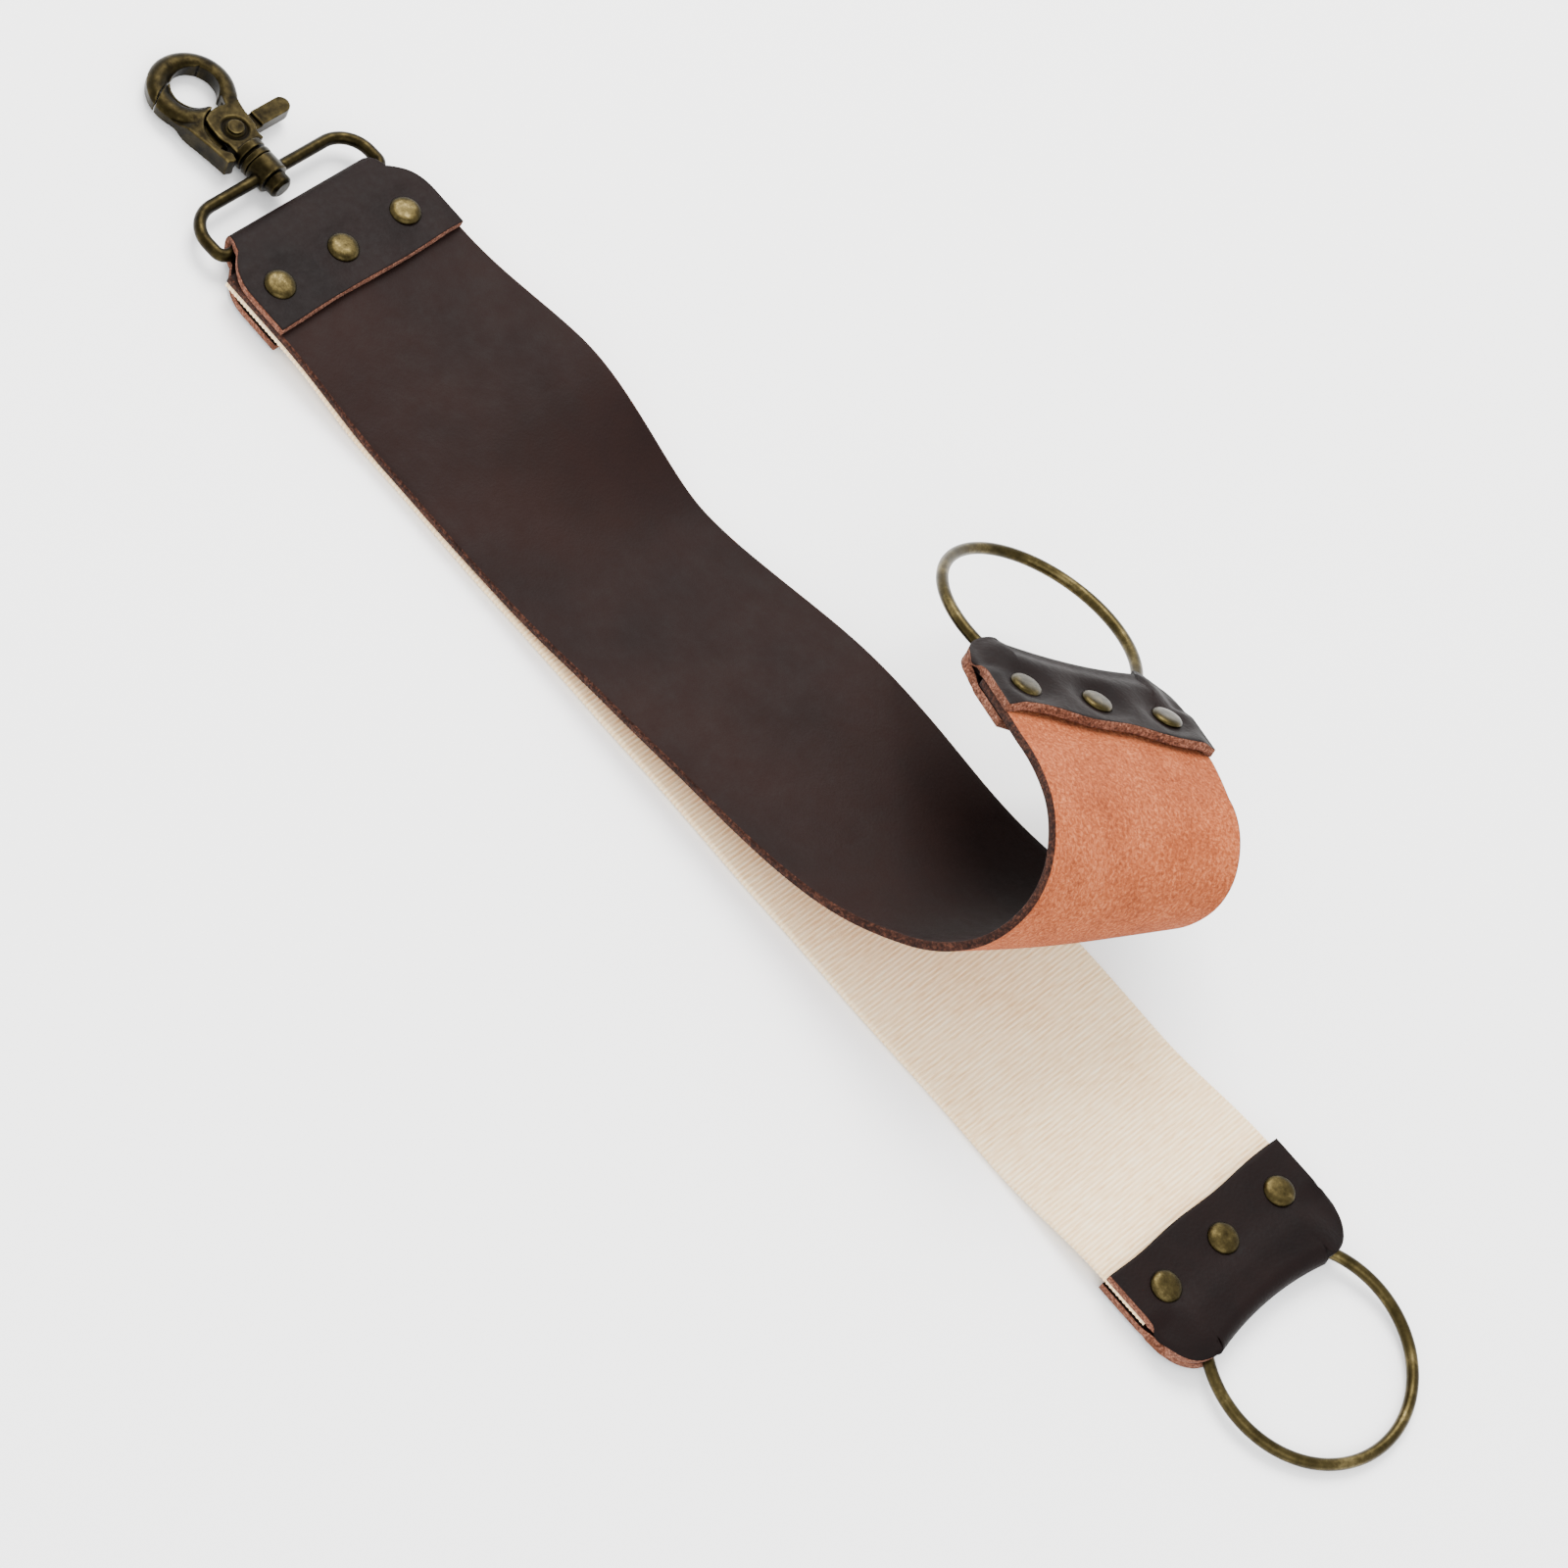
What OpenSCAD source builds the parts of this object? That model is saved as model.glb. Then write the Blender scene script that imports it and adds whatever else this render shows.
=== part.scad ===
// Hanging strop: a leather strap over a cotton canvas strap, both clamped in a folded leather
// head tab that holds a swivel loop and a trigger snap. Each strap ends in a tab with a grip ring.
// X runs along the straps towards the rings, Y across them, Z up. The strop lies on z = 0.

/* [Straps] */
// Width of both straps
strap_w = 60; // [50:1:66]
// Free length of the canvas strap between its two tabs
canvas_len = 290; // [260:1:340]
// Free length of the leather strap between its two tabs
leather_len = 298; // [297:1:320]
// Thickness of the leather strap
leather_t = 2.2; // [1.6:0.1:2.4]
// Thickness of the canvas strap
canvas_t = 2.2; // [1.6:0.1:2.4]

/* [Tabs and rivets] */
// Thickness of the tab leather
tab_t = 2.2; // [1.8:0.1:2.6]
// Distance from a tab's straight edge to its rivet row
rivet_inset = 9.8; // [9:0.1:10.4]
// Distance between neighbouring rivets
rivet_pitch = 20.5; // [18:0.5:21]
// Diameter of the domed rivet caps
cap_d = 8; // [6:0.5:9]
// Height of the domed rivet caps
cap_h = 1.3; // [1:0.1:1.6]
// Thickness of the rivets' back heads
back_h = 1.2; // [1:0.1:1.5]

/* [Grip rings] */
// Inside diameter of a grip ring
ring_inner_d = 50; // [46:1:52]
// Wire diameter of a grip ring
ring_wire_d = 3; // [2.6:0.1:3.2]
// Distance from a tail tab's straight edge to its ring's centre
ring_centre = 41.9; // [41:0.1:43]
// Tilt of the leather strap's ring out of its tab
leather_ring_tilt = 7; // [3:1:8]

/* [Loop and snap] */
// Wire diameter of the swivel loop
loop_wire_d = 3.2; // [3:0.1:3.4]
// Overall width of the swivel loop
loop_w = 56; // [55.5:0.1:57]
// Distance between the centres of the loop's two long sides
loop_depth = 13; // [12.5:0.1:14]
// Overall diameter of the snap's round eye
eye_d = 22; // [21:0.5:23]
// Diameter of the opening in the eye
eye_hole_d = 11.8; // [11:0.1:12.4]
// Thickness of the snap
snap_t = 5.2; // [4.8:0.1:5.6]

/* [Hidden] */

$fn = 64;
eps = 0.02;

dark_leather = [0.24, 0.17, 0.15];
strap_leather = [0.26, 0.19, 0.17];
cotton = [0.94, 0.90, 0.82];
antique_brass = [0.47, 0.42, 0.27];
spring_steel = [0.6, 0.6, 0.6];

// Whole strop moved so that its box is centred on the origin
centre_shift = [-141.82, -27.96, 0];

// Heights of the layers held by the head tab, from the ground up
back_z = back_h;
canvas_z = back_z + tab_t;
leather_z = canvas_z + canvas_t;
front_z = leather_z + leather_t;
head_top_z = front_z + tab_t;
bar_z = (canvas_z + front_z) / 2;
head_half_gap = (front_z - canvas_z) / 2;
canvas_tail_z = canvas_z + canvas_t / 2;

// Head tab: fold round the loop's bar
bar_x = -24.1;
bar_r = loop_wire_d / 2;
fold_clearance = 0.1;
fold_inner_r = bar_r + fold_clearance;
fold_outer_r = fold_inner_r + tab_t;
fold_half_w = 24.3;
head_clamp = 18.8;
head_rivet_shift = -1.5;

// Tail tabs: pocket for the strap, then a taller pocket for the ring
tail_strap_depth = 13;
canvas_pocket_half = 2.1;
leather_pocket_half = 2.5;
mouth_y = 23;
mouth_w = 7.4;
tail_len = 29.5;
tail_crease = 2.5;
ring_hinge_x = 22;
ring_wire_r = ring_wire_d / 2;
ring_mid_r = ring_inner_d / 2 + ring_wire_r;
ring_tip = ring_centre + ring_mid_r - ring_hinge_x;
canvas_ring_tilt = asin((canvas_tail_z - ring_wire_r - 0.05) / ring_tip);

// Rivets
stud_r = 1.7;
stud_hole_r = stud_r + 0.05;
cap_post_r = 0.9;
cap_post_len = 4;
dimple_gap = 0.15;

// Straps: how far each drops from the head tab to lie flat
sag_len = 36;
leather_sag_len = 40;
layer_gap = 0.3;
leather_sag = leather_z - canvas_t - layer_gap;
canvas_sag = canvas_z;

// Hinge line of the leather strap at the head tab's edge
lift_x = 1.5;

// Bends of the leather strap: [start, length, angle, skew of the bend line]
bends = [[60, 60, 7, 25], [172, 90, 52, 38], [216, 78, 146, 13]];
bend_shares = [1, 2, 3, 2, 1];
share_count = 5;
share_sum = 9;
bend_slices = [
    for (b = bends)
        for (i = [0 : share_count - 1])
            [b[0] + b[1] * i / share_count, b[1] / share_count, b[2] * bend_shares[i] / share_sum, b[3]]
];
// Low waves in the lying part, strongest along the far edge: [centre, half length, height]
waves = [[46, 46, 10], [146, 60, 6]];

// Snap, measured from the bar of the loop towards the tip of the hook
boss_start = 10.9;
boss_end = 16.3;
boss_r = 4.2;
post_r = 1.62;
post_bore_r = 1.7;
post_head_r = 3.1;
post_head_len = 3.3;
collar_start = 16.45;
collar_r = 4.3;
groove_r = 3.4;
pivot = [26.1, 0.5];
eye_centre = [41, 0];
hole_centre = [41, 1];
eye_r = eye_d / 2;
cheek_r = 5.3;
web_r = 7.3;
gate_inner_r = 7.6;
sweep_r = 10.5;
eye_wall_angle = 15.6;
slot_half = 1.15;
tang_half = 1.05;
tang_r = 4.3;
gate_reach = 19.5;
nose_gap = 0.25;
gate_top_angle = -4;
bridge_angle = 22.5;
thumb_len = 18;
thumb_r = 2.3;
thumb_half = 1.8;
thumb_root = 7.6;
pin_r = 1.3;
pin_head_r = 2.1;
pin_head_h = 0.7;
spring_r = 2.5;
spring_wire_r = 0.35;
spring_z = 0.65;
snap_half = snap_t / 2;
snap_reach = eye_centre[0] + eye_r;
rest_tilt = asin((bar_z - snap_half - 0.1) / snap_reach);

// Ease from 0 to 1 along a smooth half wave
function ease(t) = t <= 0 ? 0 : t >= 1 ? 1 : (1 - cos(180 * t)) / 2;

// Height of the canvas strap's underside at x
function canvas_low(x) =
    canvas_sag * (1 - ease(x / sag_len) + ease((x - canvas_len + sag_len) / sag_len));

function hump(s, w) = abs(s - w[0]) >= w[1] ? 0 : w[2] * (1 + cos(180 * (s - w[0]) / w[1])) / 2;
function wave_height(s, v) =
    (0.5 + v / strap_w) * (hump(s, waves[0]) + hump(s, waves[1]));

// Carries a point p of the flat strap past one bend; s and v say where on the strap it is
function past_bend(p, s, v, b) =
    let (
        c = cos(b[3]),
        k = sin(b[3]),
        first = b[0] * c,
        len = b[1] * c,
        along = min(max(s * c - v * k - first, 0), len),
        turn = b[2] * along / len,
        r = len / (b[2] * PI / 180),
        ahead = p[0] * c - p[1] * k - first - along,
        side = p[0] * k + p[1] * c,
        out = first + r * sin(turn) + ahead * cos(turn) - p[2] * sin(turn)
    )
    [out * c + side * k, -out * k + side * c, r * (1 - cos(turn)) + ahead * sin(turn) + p[2] * cos(turn)];

function past_bends(p, s, v, i) = i < 0 ? p : past_bends(past_bend(p, s, v, bend_slices[i]), s, v, i - 1);

// A point of the leather strap: s along it, v across it, h above its middle surface
function leather_point(s, v, h) =
    past_bends([s, v, h + wave_height(s, v)], s, v, len(bend_slices) - 1)
    + [0, 0, leather_z + leather_t / 2 - leather_sag * ease(s / leather_sag_len)];

// Frame at the tail end of the leather strap
tail_o = leather_point(leather_len, 0, 0);
tail_x = leather_point(leather_len + 1, 0, 0) - tail_o;
tail_y = leather_point(leather_len, 1, 0) - tail_o;
tail_z = cross(tail_x, tail_y);

module whole_strop() {
    translate(centre_shift) children();
}

module leather_tail() {
    multmatrix([
        [tail_x[0], tail_y[0], tail_z[0], tail_o[0]],
        [tail_x[1], tail_y[1], tail_z[1], tail_o[1]],
        [tail_x[2], tail_y[2], tail_z[2], tail_o[2]],
        [0, 0, 0, 1]
    ]) children();
}

module canvas_tail() {
    translate([canvas_len, 0, canvas_tail_z]) children();
}

// Frame of the loop: its bar along Y, the snap towards +X, and the far side on +Y
module at_loop() {
    translate([bar_x, 0, bar_z]) rotate([0, -rest_tilt, 0]) mirror([1, 0, 0]) children();
}

// Draws children at each of a tab's three rivets
module at_rivets(x, shift) {
    for (i = [-1 : 1]) translate([x, shift + i * rivet_pitch, 0]) children();
}

module rivet_holes(x, shift) {
    at_rivets(x, shift) cylinder(r = stud_hole_r, h = 40, center = true);
}

// Domed cap with its post, sitting on z = 0
module cap() {
    cap_r = cap_d / 2;
    rim_h = 0.3;
    dome_h = cap_h - rim_h;
    dome_r = (cap_r * cap_r + dome_h * dome_h) / (2 * dome_h);
    cylinder(r = cap_r, h = rim_h + eps);
    intersection() {
        translate([0, 0, cap_h - dome_r]) sphere(r = dome_r, $fn = 96);
        translate([0, 0, rim_h]) cylinder(r = cap_r, h = cap_h);
    }
    translate([0, 0, -cap_post_len]) cylinder(r = cap_post_r, h = cap_post_len + eps);
}

// Hollow stud with its back head; the back head lies below z = 0 and the barrel above it
module stud(grip) {
    difference() {
        union() {
            translate([0, 0, -eps]) cylinder(r = stud_r, h = grip + eps);
            translate([0, 0, -back_h]) cylinder(r = cap_d / 2 - 0.3, h = back_h);
        }
        translate([0, 0, grip - cap_post_len - 0.3]) cylinder(r = cap_post_r + 0.05, h = cap_post_len + 1);
    }
}

// Outline of the head tab: square corners at x = 0, stepped and rounded ones at the fold
module head_outline() {
    shoulder_x = -22.2;
    shoulder_r = 8;
    end_x = bar_x - fold_outer_r;
    end_r = 3;
    half = strap_w / 2;
    steps = 8;
    corner = [for (i = [0 : steps]) 90 * i / steps];
    side = concat(
        [[0, half]],
        [for (a = corner) [shoulder_x + shoulder_r - shoulder_r * sin(a), fold_half_w + (half - fold_half_w) * cos(a)]],
        [for (a = corner) [end_x + end_r - end_r * sin(a), fold_half_w - end_r + end_r * cos(a)]]
    );
    polygon(concat(side, [for (i = [len(side) - 1 : -1 : 0]) [side[i][0], -side[i][1]]]));
}

// Outline of a tail tab: square corners at x = 0, round corners and a hollow crease at the fold
module tail_outline(inset) {
    half = strap_w / 2;
    corner_r = 9;
    corner_x = tail_len - corner_r - inset;
    steps = 8;
    far = concat(
        [[0, half]],
        [for (i = [0 : steps]) [corner_x + corner_r * sin(90 * i / steps), half - corner_r + corner_r * cos(90 * i / steps)]],
        [for (i = [1 : steps]) let (v = (half - corner_r) * (1 - i / steps))
            [tail_len - inset - tail_crease * (1 - pow(v / (half - corner_r), 2)), v]]
    );
    polygon(concat(far, [for (i = [len(far) - 2 : -1 : 0]) [far[i][0], -far[i][1]]]));
}

module head_tab() color(dark_leather) whole_strop() difference() {
    intersection() {
        translate([0, 0, back_z]) linear_extrude(head_top_z - back_z) head_outline();
        translate([0, 0, bar_z]) rotate([90, 0, 0]) linear_extrude(strap_w + 2, center = true) difference() {
            outer_half = head_half_gap + tab_t;
            union() {
                polygon([
                    [0, -outer_half], [0, outer_half], [-16, outer_half], [bar_x, fold_outer_r],
                    [bar_x, -fold_outer_r], [-16, -outer_half]
                ]);
                translate([bar_x, 0]) circle(r = fold_outer_r);
            }
            polygon([
                [1, -head_half_gap], [1, head_half_gap], [-head_clamp, head_half_gap], [-21, fold_inner_r],
                [bar_x, fold_inner_r], [bar_x, -fold_inner_r], [-21, -fold_inner_r], [-head_clamp, -head_half_gap]
            ]);
            translate([bar_x, 0]) circle(r = fold_inner_r);
        }
    }
    rivet_holes(-rivet_inset, head_rivet_shift);
}

module head_rivet_studs() color(antique_brass) whole_strop()
    translate([0, 0, back_z]) at_rivets(-rivet_inset, head_rivet_shift) stud(head_top_z - back_z);

module head_rivet_caps() color(antique_brass) whole_strop()
    translate([0, 0, head_top_z]) at_rivets(-rivet_inset, head_rivet_shift) cap();

module canvas_strap() color(cotton) whole_strop() difference() {
    start = -head_clamp + 0.1;
    end = canvas_len + tail_strap_depth;
    steps = 12;
    sag_in = [for (i = [0 : steps]) sag_len * i / steps];
    sag_out = [for (i = [0 : steps]) canvas_len - sag_len + sag_len * i / steps];
    xs = concat([start], sag_in, sag_out, [end]);
    low = [for (x = xs) [x, canvas_low(x)]];
    high = [for (i = [len(xs) - 1 : -1 : 0]) [xs[i], canvas_low(xs[i]) + canvas_t]];
    rotate([90, 0, 0]) linear_extrude(strap_w, center = true) polygon(concat(low, high));
    rivet_holes(-rivet_inset, head_rivet_shift);
    rivet_holes(canvas_len + rivet_inset, 0);
}

// Clamped start of the leather strap, between the canvas and the front of the head tab
module leather_strap_root() color(strap_leather) whole_strop() difference() {
    translate([-head_clamp + 0.1, -strap_w / 2, leather_z]) cube([head_clamp + 0.2, strap_w, leather_t]);
    rivet_holes(-rivet_inset, head_rivet_shift);
}

// Free leaf of the leather strap, swept along its waves and its curl
module leather_strap() color(strap_leather) whole_strop() {
    along = 66;
    across = 10;
    end = leather_len + tail_strap_depth - 0.1;
    free_rows = [for (i = [0 : along - 1]) lift_x + (leather_len - lift_x) * i / (along - 1)];
    ss = concat(free_rows, [end]);
    vs = [for (j = [0 : across]) strap_w * (j / across - 0.5)];
    ring = 2 * (across + 1);
    points = [
        for (s = ss)
            each concat(
                [for (v = vs) leather_point(s, v, -leather_t / 2)],
                [for (j = [across : -1 : 0]) leather_point(s, vs[j], leather_t / 2)]
            )
    ];
    walls = [
        for (i = [0 : along - 1])
            for (j = [0 : ring - 1])
                let (a = i * ring + j, b = i * ring + (j + 1) % ring)
                    each [[a, b, b + ring], [a, b + ring, a + ring]]
    ];
    last = along * ring;
    caps = [
        for (j = [0 : across - 1])
            let (k = ring - 1 - j)
                each [
                    [j, k, j + 1], [j + 1, k, k - 1],
                    [last + j, last + j + 1, last + k], [last + j + 1, last + k - 1, last + k]
                ]
    ];
    difference() {
        polyhedron(points, concat(walls, caps), convexity = 6);
        leather_tail() rivet_holes(rivet_inset, 0);
    }
}

// Folded tail tab round the end of a strap whose middle surface is z = 0
module tail_tab(pocket_half) difference() {
    strap_half = leather_t / 2;
    union() {
        intersection() {
            translate([0, 0, -strap_half - tab_t]) linear_extrude(2 * (strap_half + tab_t)) tail_outline(0);
            translate([-1, -strap_w, -20]) cube([tail_strap_depth + 2, 2 * strap_w, 40]);
        }
        intersection() {
            translate([0, 0, -pocket_half - tab_t])
                linear_extrude(2 * (pocket_half + tab_t)) tail_outline(0);
            translate([tail_strap_depth, -strap_w, -20]) cube([40, 2 * strap_w, 40]);
        }
    }
    translate([-1, -strap_w, -strap_half]) cube([tail_strap_depth + 1 + eps, 2 * strap_w, leather_t]);
    intersection() {
        translate([0, 0, -pocket_half]) linear_extrude(2 * pocket_half) scale([1, 1.2]) tail_outline(tab_t);
        translate([tail_strap_depth, -strap_w, -20]) cube([40, 2 * strap_w, 40]);
    }
    // Mouths where the ring leaves the fold on either side
    for (i = [-1, 1])
        translate([tail_len - 3.5, i * mouth_y - mouth_w / 2, -pocket_half]) cube([7, mouth_w, 2 * pocket_half]);
    // Dimples that the rivet heads are set down into
    for (side = [0, 180])
        rotate([side, 0, 0]) translate([0, 0, strap_half + tab_t]) at_rivets(rivet_inset, 0)
            cylinder(r = cap_d / 2 + dimple_gap, h = 5);
    rivet_holes(rivet_inset, 0);
}

module tail_studs() translate([0, 0, -leather_t / 2 - tab_t]) at_rivets(rivet_inset, 0) stud(leather_t + 2 * tab_t);

module tail_caps() translate([0, 0, leather_t / 2 + tab_t]) at_rivets(rivet_inset, 0) cap();

module grip_ring(tilt) {
    translate([ring_hinge_x, 0, 0]) rotate([0, tilt, 0]) translate([ring_centre - ring_hinge_x, 0, 0])
        rotate_extrude($fn = 128) translate([ring_mid_r, 0]) circle(r = ring_wire_r, $fn = 32);
}

module leather_tail_tab() color(dark_leather) whole_strop() leather_tail() tail_tab(leather_pocket_half);
// On the curled strap the caps face the flesh side, which shows on top
module leather_tail_rivet_studs() color(antique_brass) whole_strop() leather_tail() rotate([180, 0, 0]) tail_studs();
module leather_tail_rivet_caps() color(antique_brass) whole_strop() leather_tail() rotate([180, 0, 0]) tail_caps();
module leather_tail_ring() color(antique_brass) whole_strop() leather_tail() grip_ring(leather_ring_tilt);

module canvas_tail_tab() color(dark_leather) whole_strop() canvas_tail() tail_tab(canvas_pocket_half);
module canvas_tail_rivet_studs() color(antique_brass) whole_strop() canvas_tail() tail_studs();
module canvas_tail_rivet_caps() color(antique_brass) whole_strop() canvas_tail() tail_caps();
module canvas_tail_ring() color(antique_brass) whole_strop() canvas_tail() grip_ring(canvas_ring_tilt);

// Wire loop: bar in the fold, two short legs, and the far side with the swivel boss
module swivel_loop() color(antique_brass) whole_strop() at_loop() {
    leg_y = loop_w / 2 - bar_r;
    bar_corner = 2.4;
    far_corner = 8;
    difference() {
        union() {
            rotate([90, 0, 0]) cylinder(r = bar_r, h = 2 * (leg_y - bar_corner), center = true);
            translate([loop_depth, 0, 0]) rotate([90, 0, 0])
                cylinder(r = bar_r, h = 2 * (leg_y - far_corner), center = true);
            for (side = [-1, 1]) {
                translate([bar_corner, side * leg_y, 0]) rotate([0, 90, 0])
                    cylinder(r = bar_r, h = loop_depth - bar_corner - far_corner);
                translate([bar_corner, side * (leg_y - bar_corner), 0]) rotate([0, 0, side > 0 ? 90 : 180])
                    rotate_extrude(angle = 90) translate([bar_corner, 0]) circle(r = bar_r, $fn = 32);
                translate([loop_depth - far_corner, side * (leg_y - far_corner), 0])
                    rotate([0, 0, side > 0 ? 0 : -90])
                        rotate_extrude(angle = 90) translate([far_corner, 0]) circle(r = bar_r, $fn = 32);
            }
            translate([boss_start, 0, 0]) rotate([0, 90, 0]) cylinder(r = boss_r, h = boss_end - boss_start);
        }
        translate([boss_start - 5, 0, 0]) rotate([0, 90, 0]) cylinder(r = post_bore_r, h = 20);
    }
}

// Post that the snap turns on: its head is inside the loop, its end is fixed in the snap's collar
module swivel_rivet() color(antique_brass) whole_strop() at_loop() {
    head_start = boss_start - 0.15 - post_head_len;
    crown = 0.8;
    translate([head_start, 0, 0]) rotate([0, 90, 0]) {
        cylinder(r1 = post_head_r - crown, r2 = post_head_r, h = crown);
        translate([0, 0, crown]) cylinder(r = post_head_r, h = post_head_len - crown);
        cylinder(r = post_r, h = 20.3 - head_start);
    }
}

module sector(from, to, r) {
    steps = 12;
    polygon(concat([[0, 0]], [for (i = [0 : steps]) let (a = from + (to - from) * i / steps) [r * cos(a), r * sin(a)]]));
}

// Collar on the swivel, two cheeks round the pivot, and the fixed arm up to the nose
module snap_body() color(antique_brass) whole_strop() at_loop() difference() {
    union() {
        translate([collar_start, 0, 0]) rotate([0, 90, 0]) {
            cylinder(r = collar_r, h = 1.6);
            cylinder(r = groove_r, h = 4);
            translate([0, 0, 2.4]) cylinder(r = collar_r, h = 2.1);
        }
        translate([0, 0, -snap_half]) linear_extrude(snap_t) {
            translate(pivot) circle(r = cheek_r);
            translate([20.5, -4.1]) square([6, 8.8]);
            difference() {
                union() {
                    difference() {
                        translate(eye_centre) circle(r = eye_r, $fn = 96);
                        translate(pivot) circle(r = gate_reach + nose_gap, $fn = 128);
                    }
                    intersection() {
                        translate(eye_centre) circle(r = eye_r, $fn = 96);
                        translate(pivot) sector(bridge_angle, 100, 40);
                    }
                    // Far wall of the eye, outside the sweep of the gate's inner end
                    difference() {
                        intersection() {
                            translate(eye_centre) circle(r = eye_r, $fn = 96);
                            translate(pivot) sector(eye_wall_angle, bridge_angle + 1, 40);
                        }
                        translate(pivot) circle(r = sweep_r, $fn = 128);
                    }
                    // Cheek's lower web, and the throat between the eye and the thumb lever
                    translate(pivot) sector(-38, bridge_angle, web_r);
                    translate(pivot) polygon([[0, 0], [5.75, -4.49], [3.4, -5.1], [0.5, -5.28]]);
                    translate(pivot) polygon([[0, 0], [9.2, 3.85], [8.4, 7.7], [5.4, 6.2], [3, 5.7], [0.4, 5.28]]);
                }
                translate(hole_centre) circle(r = eye_hole_d / 2);
            }
        }
    }
    // Slot between the cheeks for the gate's tang and thumb lever
    translate([0, 0, -slot_half]) linear_extrude(2 * slot_half) {
        translate(pivot) circle(r = tang_r + 0.3);
        translate(pivot) sector(-120, 25, 9);
        translate(pivot) sector(55, 150, 14);
    }
    translate([collar_start - 1, 0, 0]) rotate([0, 90, 0]) cylinder(r = post_r, h = 20.3 - collar_start + 1);
    translate([pivot[0], pivot[1], 0]) cylinder(r = pin_r, h = 20, center = true);
}

// Spring-loaded lever: the lower arm closes the eye, the tang turns on the pin, the thumb opens it
module snap_gate() color(antique_brass) whole_strop() at_loop() difference() {
    union() {
        translate([0, 0, -snap_half]) linear_extrude(snap_t) difference() {
            intersection() {
                union() {
                    translate(eye_centre) circle(r = eye_r, $fn = 96);
                    polygon([[18.8, -6.4], [19.4, -7.9], [24, -8.4], [41, -eye_r + 0.02], [41, 0], [18.8, -5.6]]);
                }
                translate(pivot) circle(r = gate_reach, $fn = 128);
                translate(pivot) sector(-150, gate_top_angle, 40);
            }
            translate(pivot) circle(r = gate_inner_r);
            translate(hole_centre) circle(r = eye_hole_d / 2);
        }
        translate([0, 0, -tang_half]) linear_extrude(2 * tang_half) {
            translate(pivot) circle(r = tang_r);
            translate(pivot) sector(-110, gate_top_angle, gate_inner_r + 0.7);
            translate([pivot[0] - thumb_r, pivot[1]]) square([2 * thumb_r, thumb_len - thumb_r - pivot[1]]);
        }
        translate([pivot[0] - thumb_r, thumb_root, -thumb_half])
            cube([2 * thumb_r, thumb_len - thumb_r - thumb_root, 2 * thumb_half]);
        translate([pivot[0], thumb_len - thumb_r, -thumb_half]) cylinder(r = thumb_r, h = 2 * thumb_half);
    }
    translate([pivot[0], pivot[1], 0]) {
        cylinder(r = pin_r + 0.08, h = 20, center = true);
        translate([0, 0, spring_z - spring_wire_r - 0.1]) difference() {
            cylinder(r = spring_r + spring_wire_r + 0.15, h = 3);
            cylinder(r = spring_r - spring_wire_r - 0.15, h = 9, center = true);
        }
    }
}

module snap_pivot_pin() color(antique_brass) whole_strop() at_loop() translate([pivot[0], pivot[1], 0]) {
    cylinder(r = pin_r, h = snap_t, center = true);
    for (side = [0, 180]) rotate([side, 0, 0]) translate([0, 0, snap_half]) cylinder(r = pin_head_r, h = pin_head_h);
}

module snap_spring() color(spring_steel) whole_strop() at_loop() translate([pivot[0], pivot[1], spring_z])
    rotate_extrude() translate([spring_r, 0]) circle(r = spring_wire_r, $fn = 16);

head_tab();
head_rivet_studs();
head_rivet_caps();
canvas_strap();
leather_strap_root();
leather_strap();
leather_tail_tab();
leather_tail_rivet_studs();
leather_tail_rivet_caps();
leather_tail_ring();
canvas_tail_tab();
canvas_tail_rivet_studs();
canvas_tail_rivet_caps();
canvas_tail_ring();
swivel_loop();
swivel_rivet();
snap_body();
snap_gate();
snap_pivot_pin();
snap_spring();
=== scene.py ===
import math

import bmesh
import bpy
import numpy as np
from mathutils import Matrix, Quaternion, Vector


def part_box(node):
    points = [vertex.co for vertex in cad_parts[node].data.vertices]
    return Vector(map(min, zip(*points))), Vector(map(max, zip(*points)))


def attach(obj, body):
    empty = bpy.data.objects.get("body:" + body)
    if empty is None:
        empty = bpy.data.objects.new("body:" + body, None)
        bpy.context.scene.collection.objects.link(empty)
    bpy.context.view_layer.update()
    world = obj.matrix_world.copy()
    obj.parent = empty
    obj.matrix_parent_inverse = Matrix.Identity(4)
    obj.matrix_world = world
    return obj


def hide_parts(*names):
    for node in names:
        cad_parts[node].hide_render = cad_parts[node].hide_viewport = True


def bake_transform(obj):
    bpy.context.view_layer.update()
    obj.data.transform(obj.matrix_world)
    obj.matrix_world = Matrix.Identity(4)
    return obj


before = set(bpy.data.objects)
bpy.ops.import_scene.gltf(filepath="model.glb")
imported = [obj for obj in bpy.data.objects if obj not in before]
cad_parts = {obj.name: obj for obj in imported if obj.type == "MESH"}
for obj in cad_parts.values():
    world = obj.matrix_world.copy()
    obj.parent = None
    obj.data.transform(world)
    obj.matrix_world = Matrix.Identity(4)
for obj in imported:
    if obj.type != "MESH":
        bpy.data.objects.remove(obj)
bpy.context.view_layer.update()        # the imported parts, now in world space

# ------------------------------------------------------------------------------------------------
# Studio: a pale floor, a bright even sky, one large soft light high behind the left shoulder and a
# weaker one on the right. The camera looks down on the strop along a long lens, turned so that the
# straps run across the picture from corner to corner.
# ------------------------------------------------------------------------------------------------
look_at = Vector((0.0122, -0.0300, 0.0))
look_distance = 1.255
look_down = math.radians(54.13)
look_round = math.radians(15.03)
look_turn = math.radians(36.15)

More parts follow.
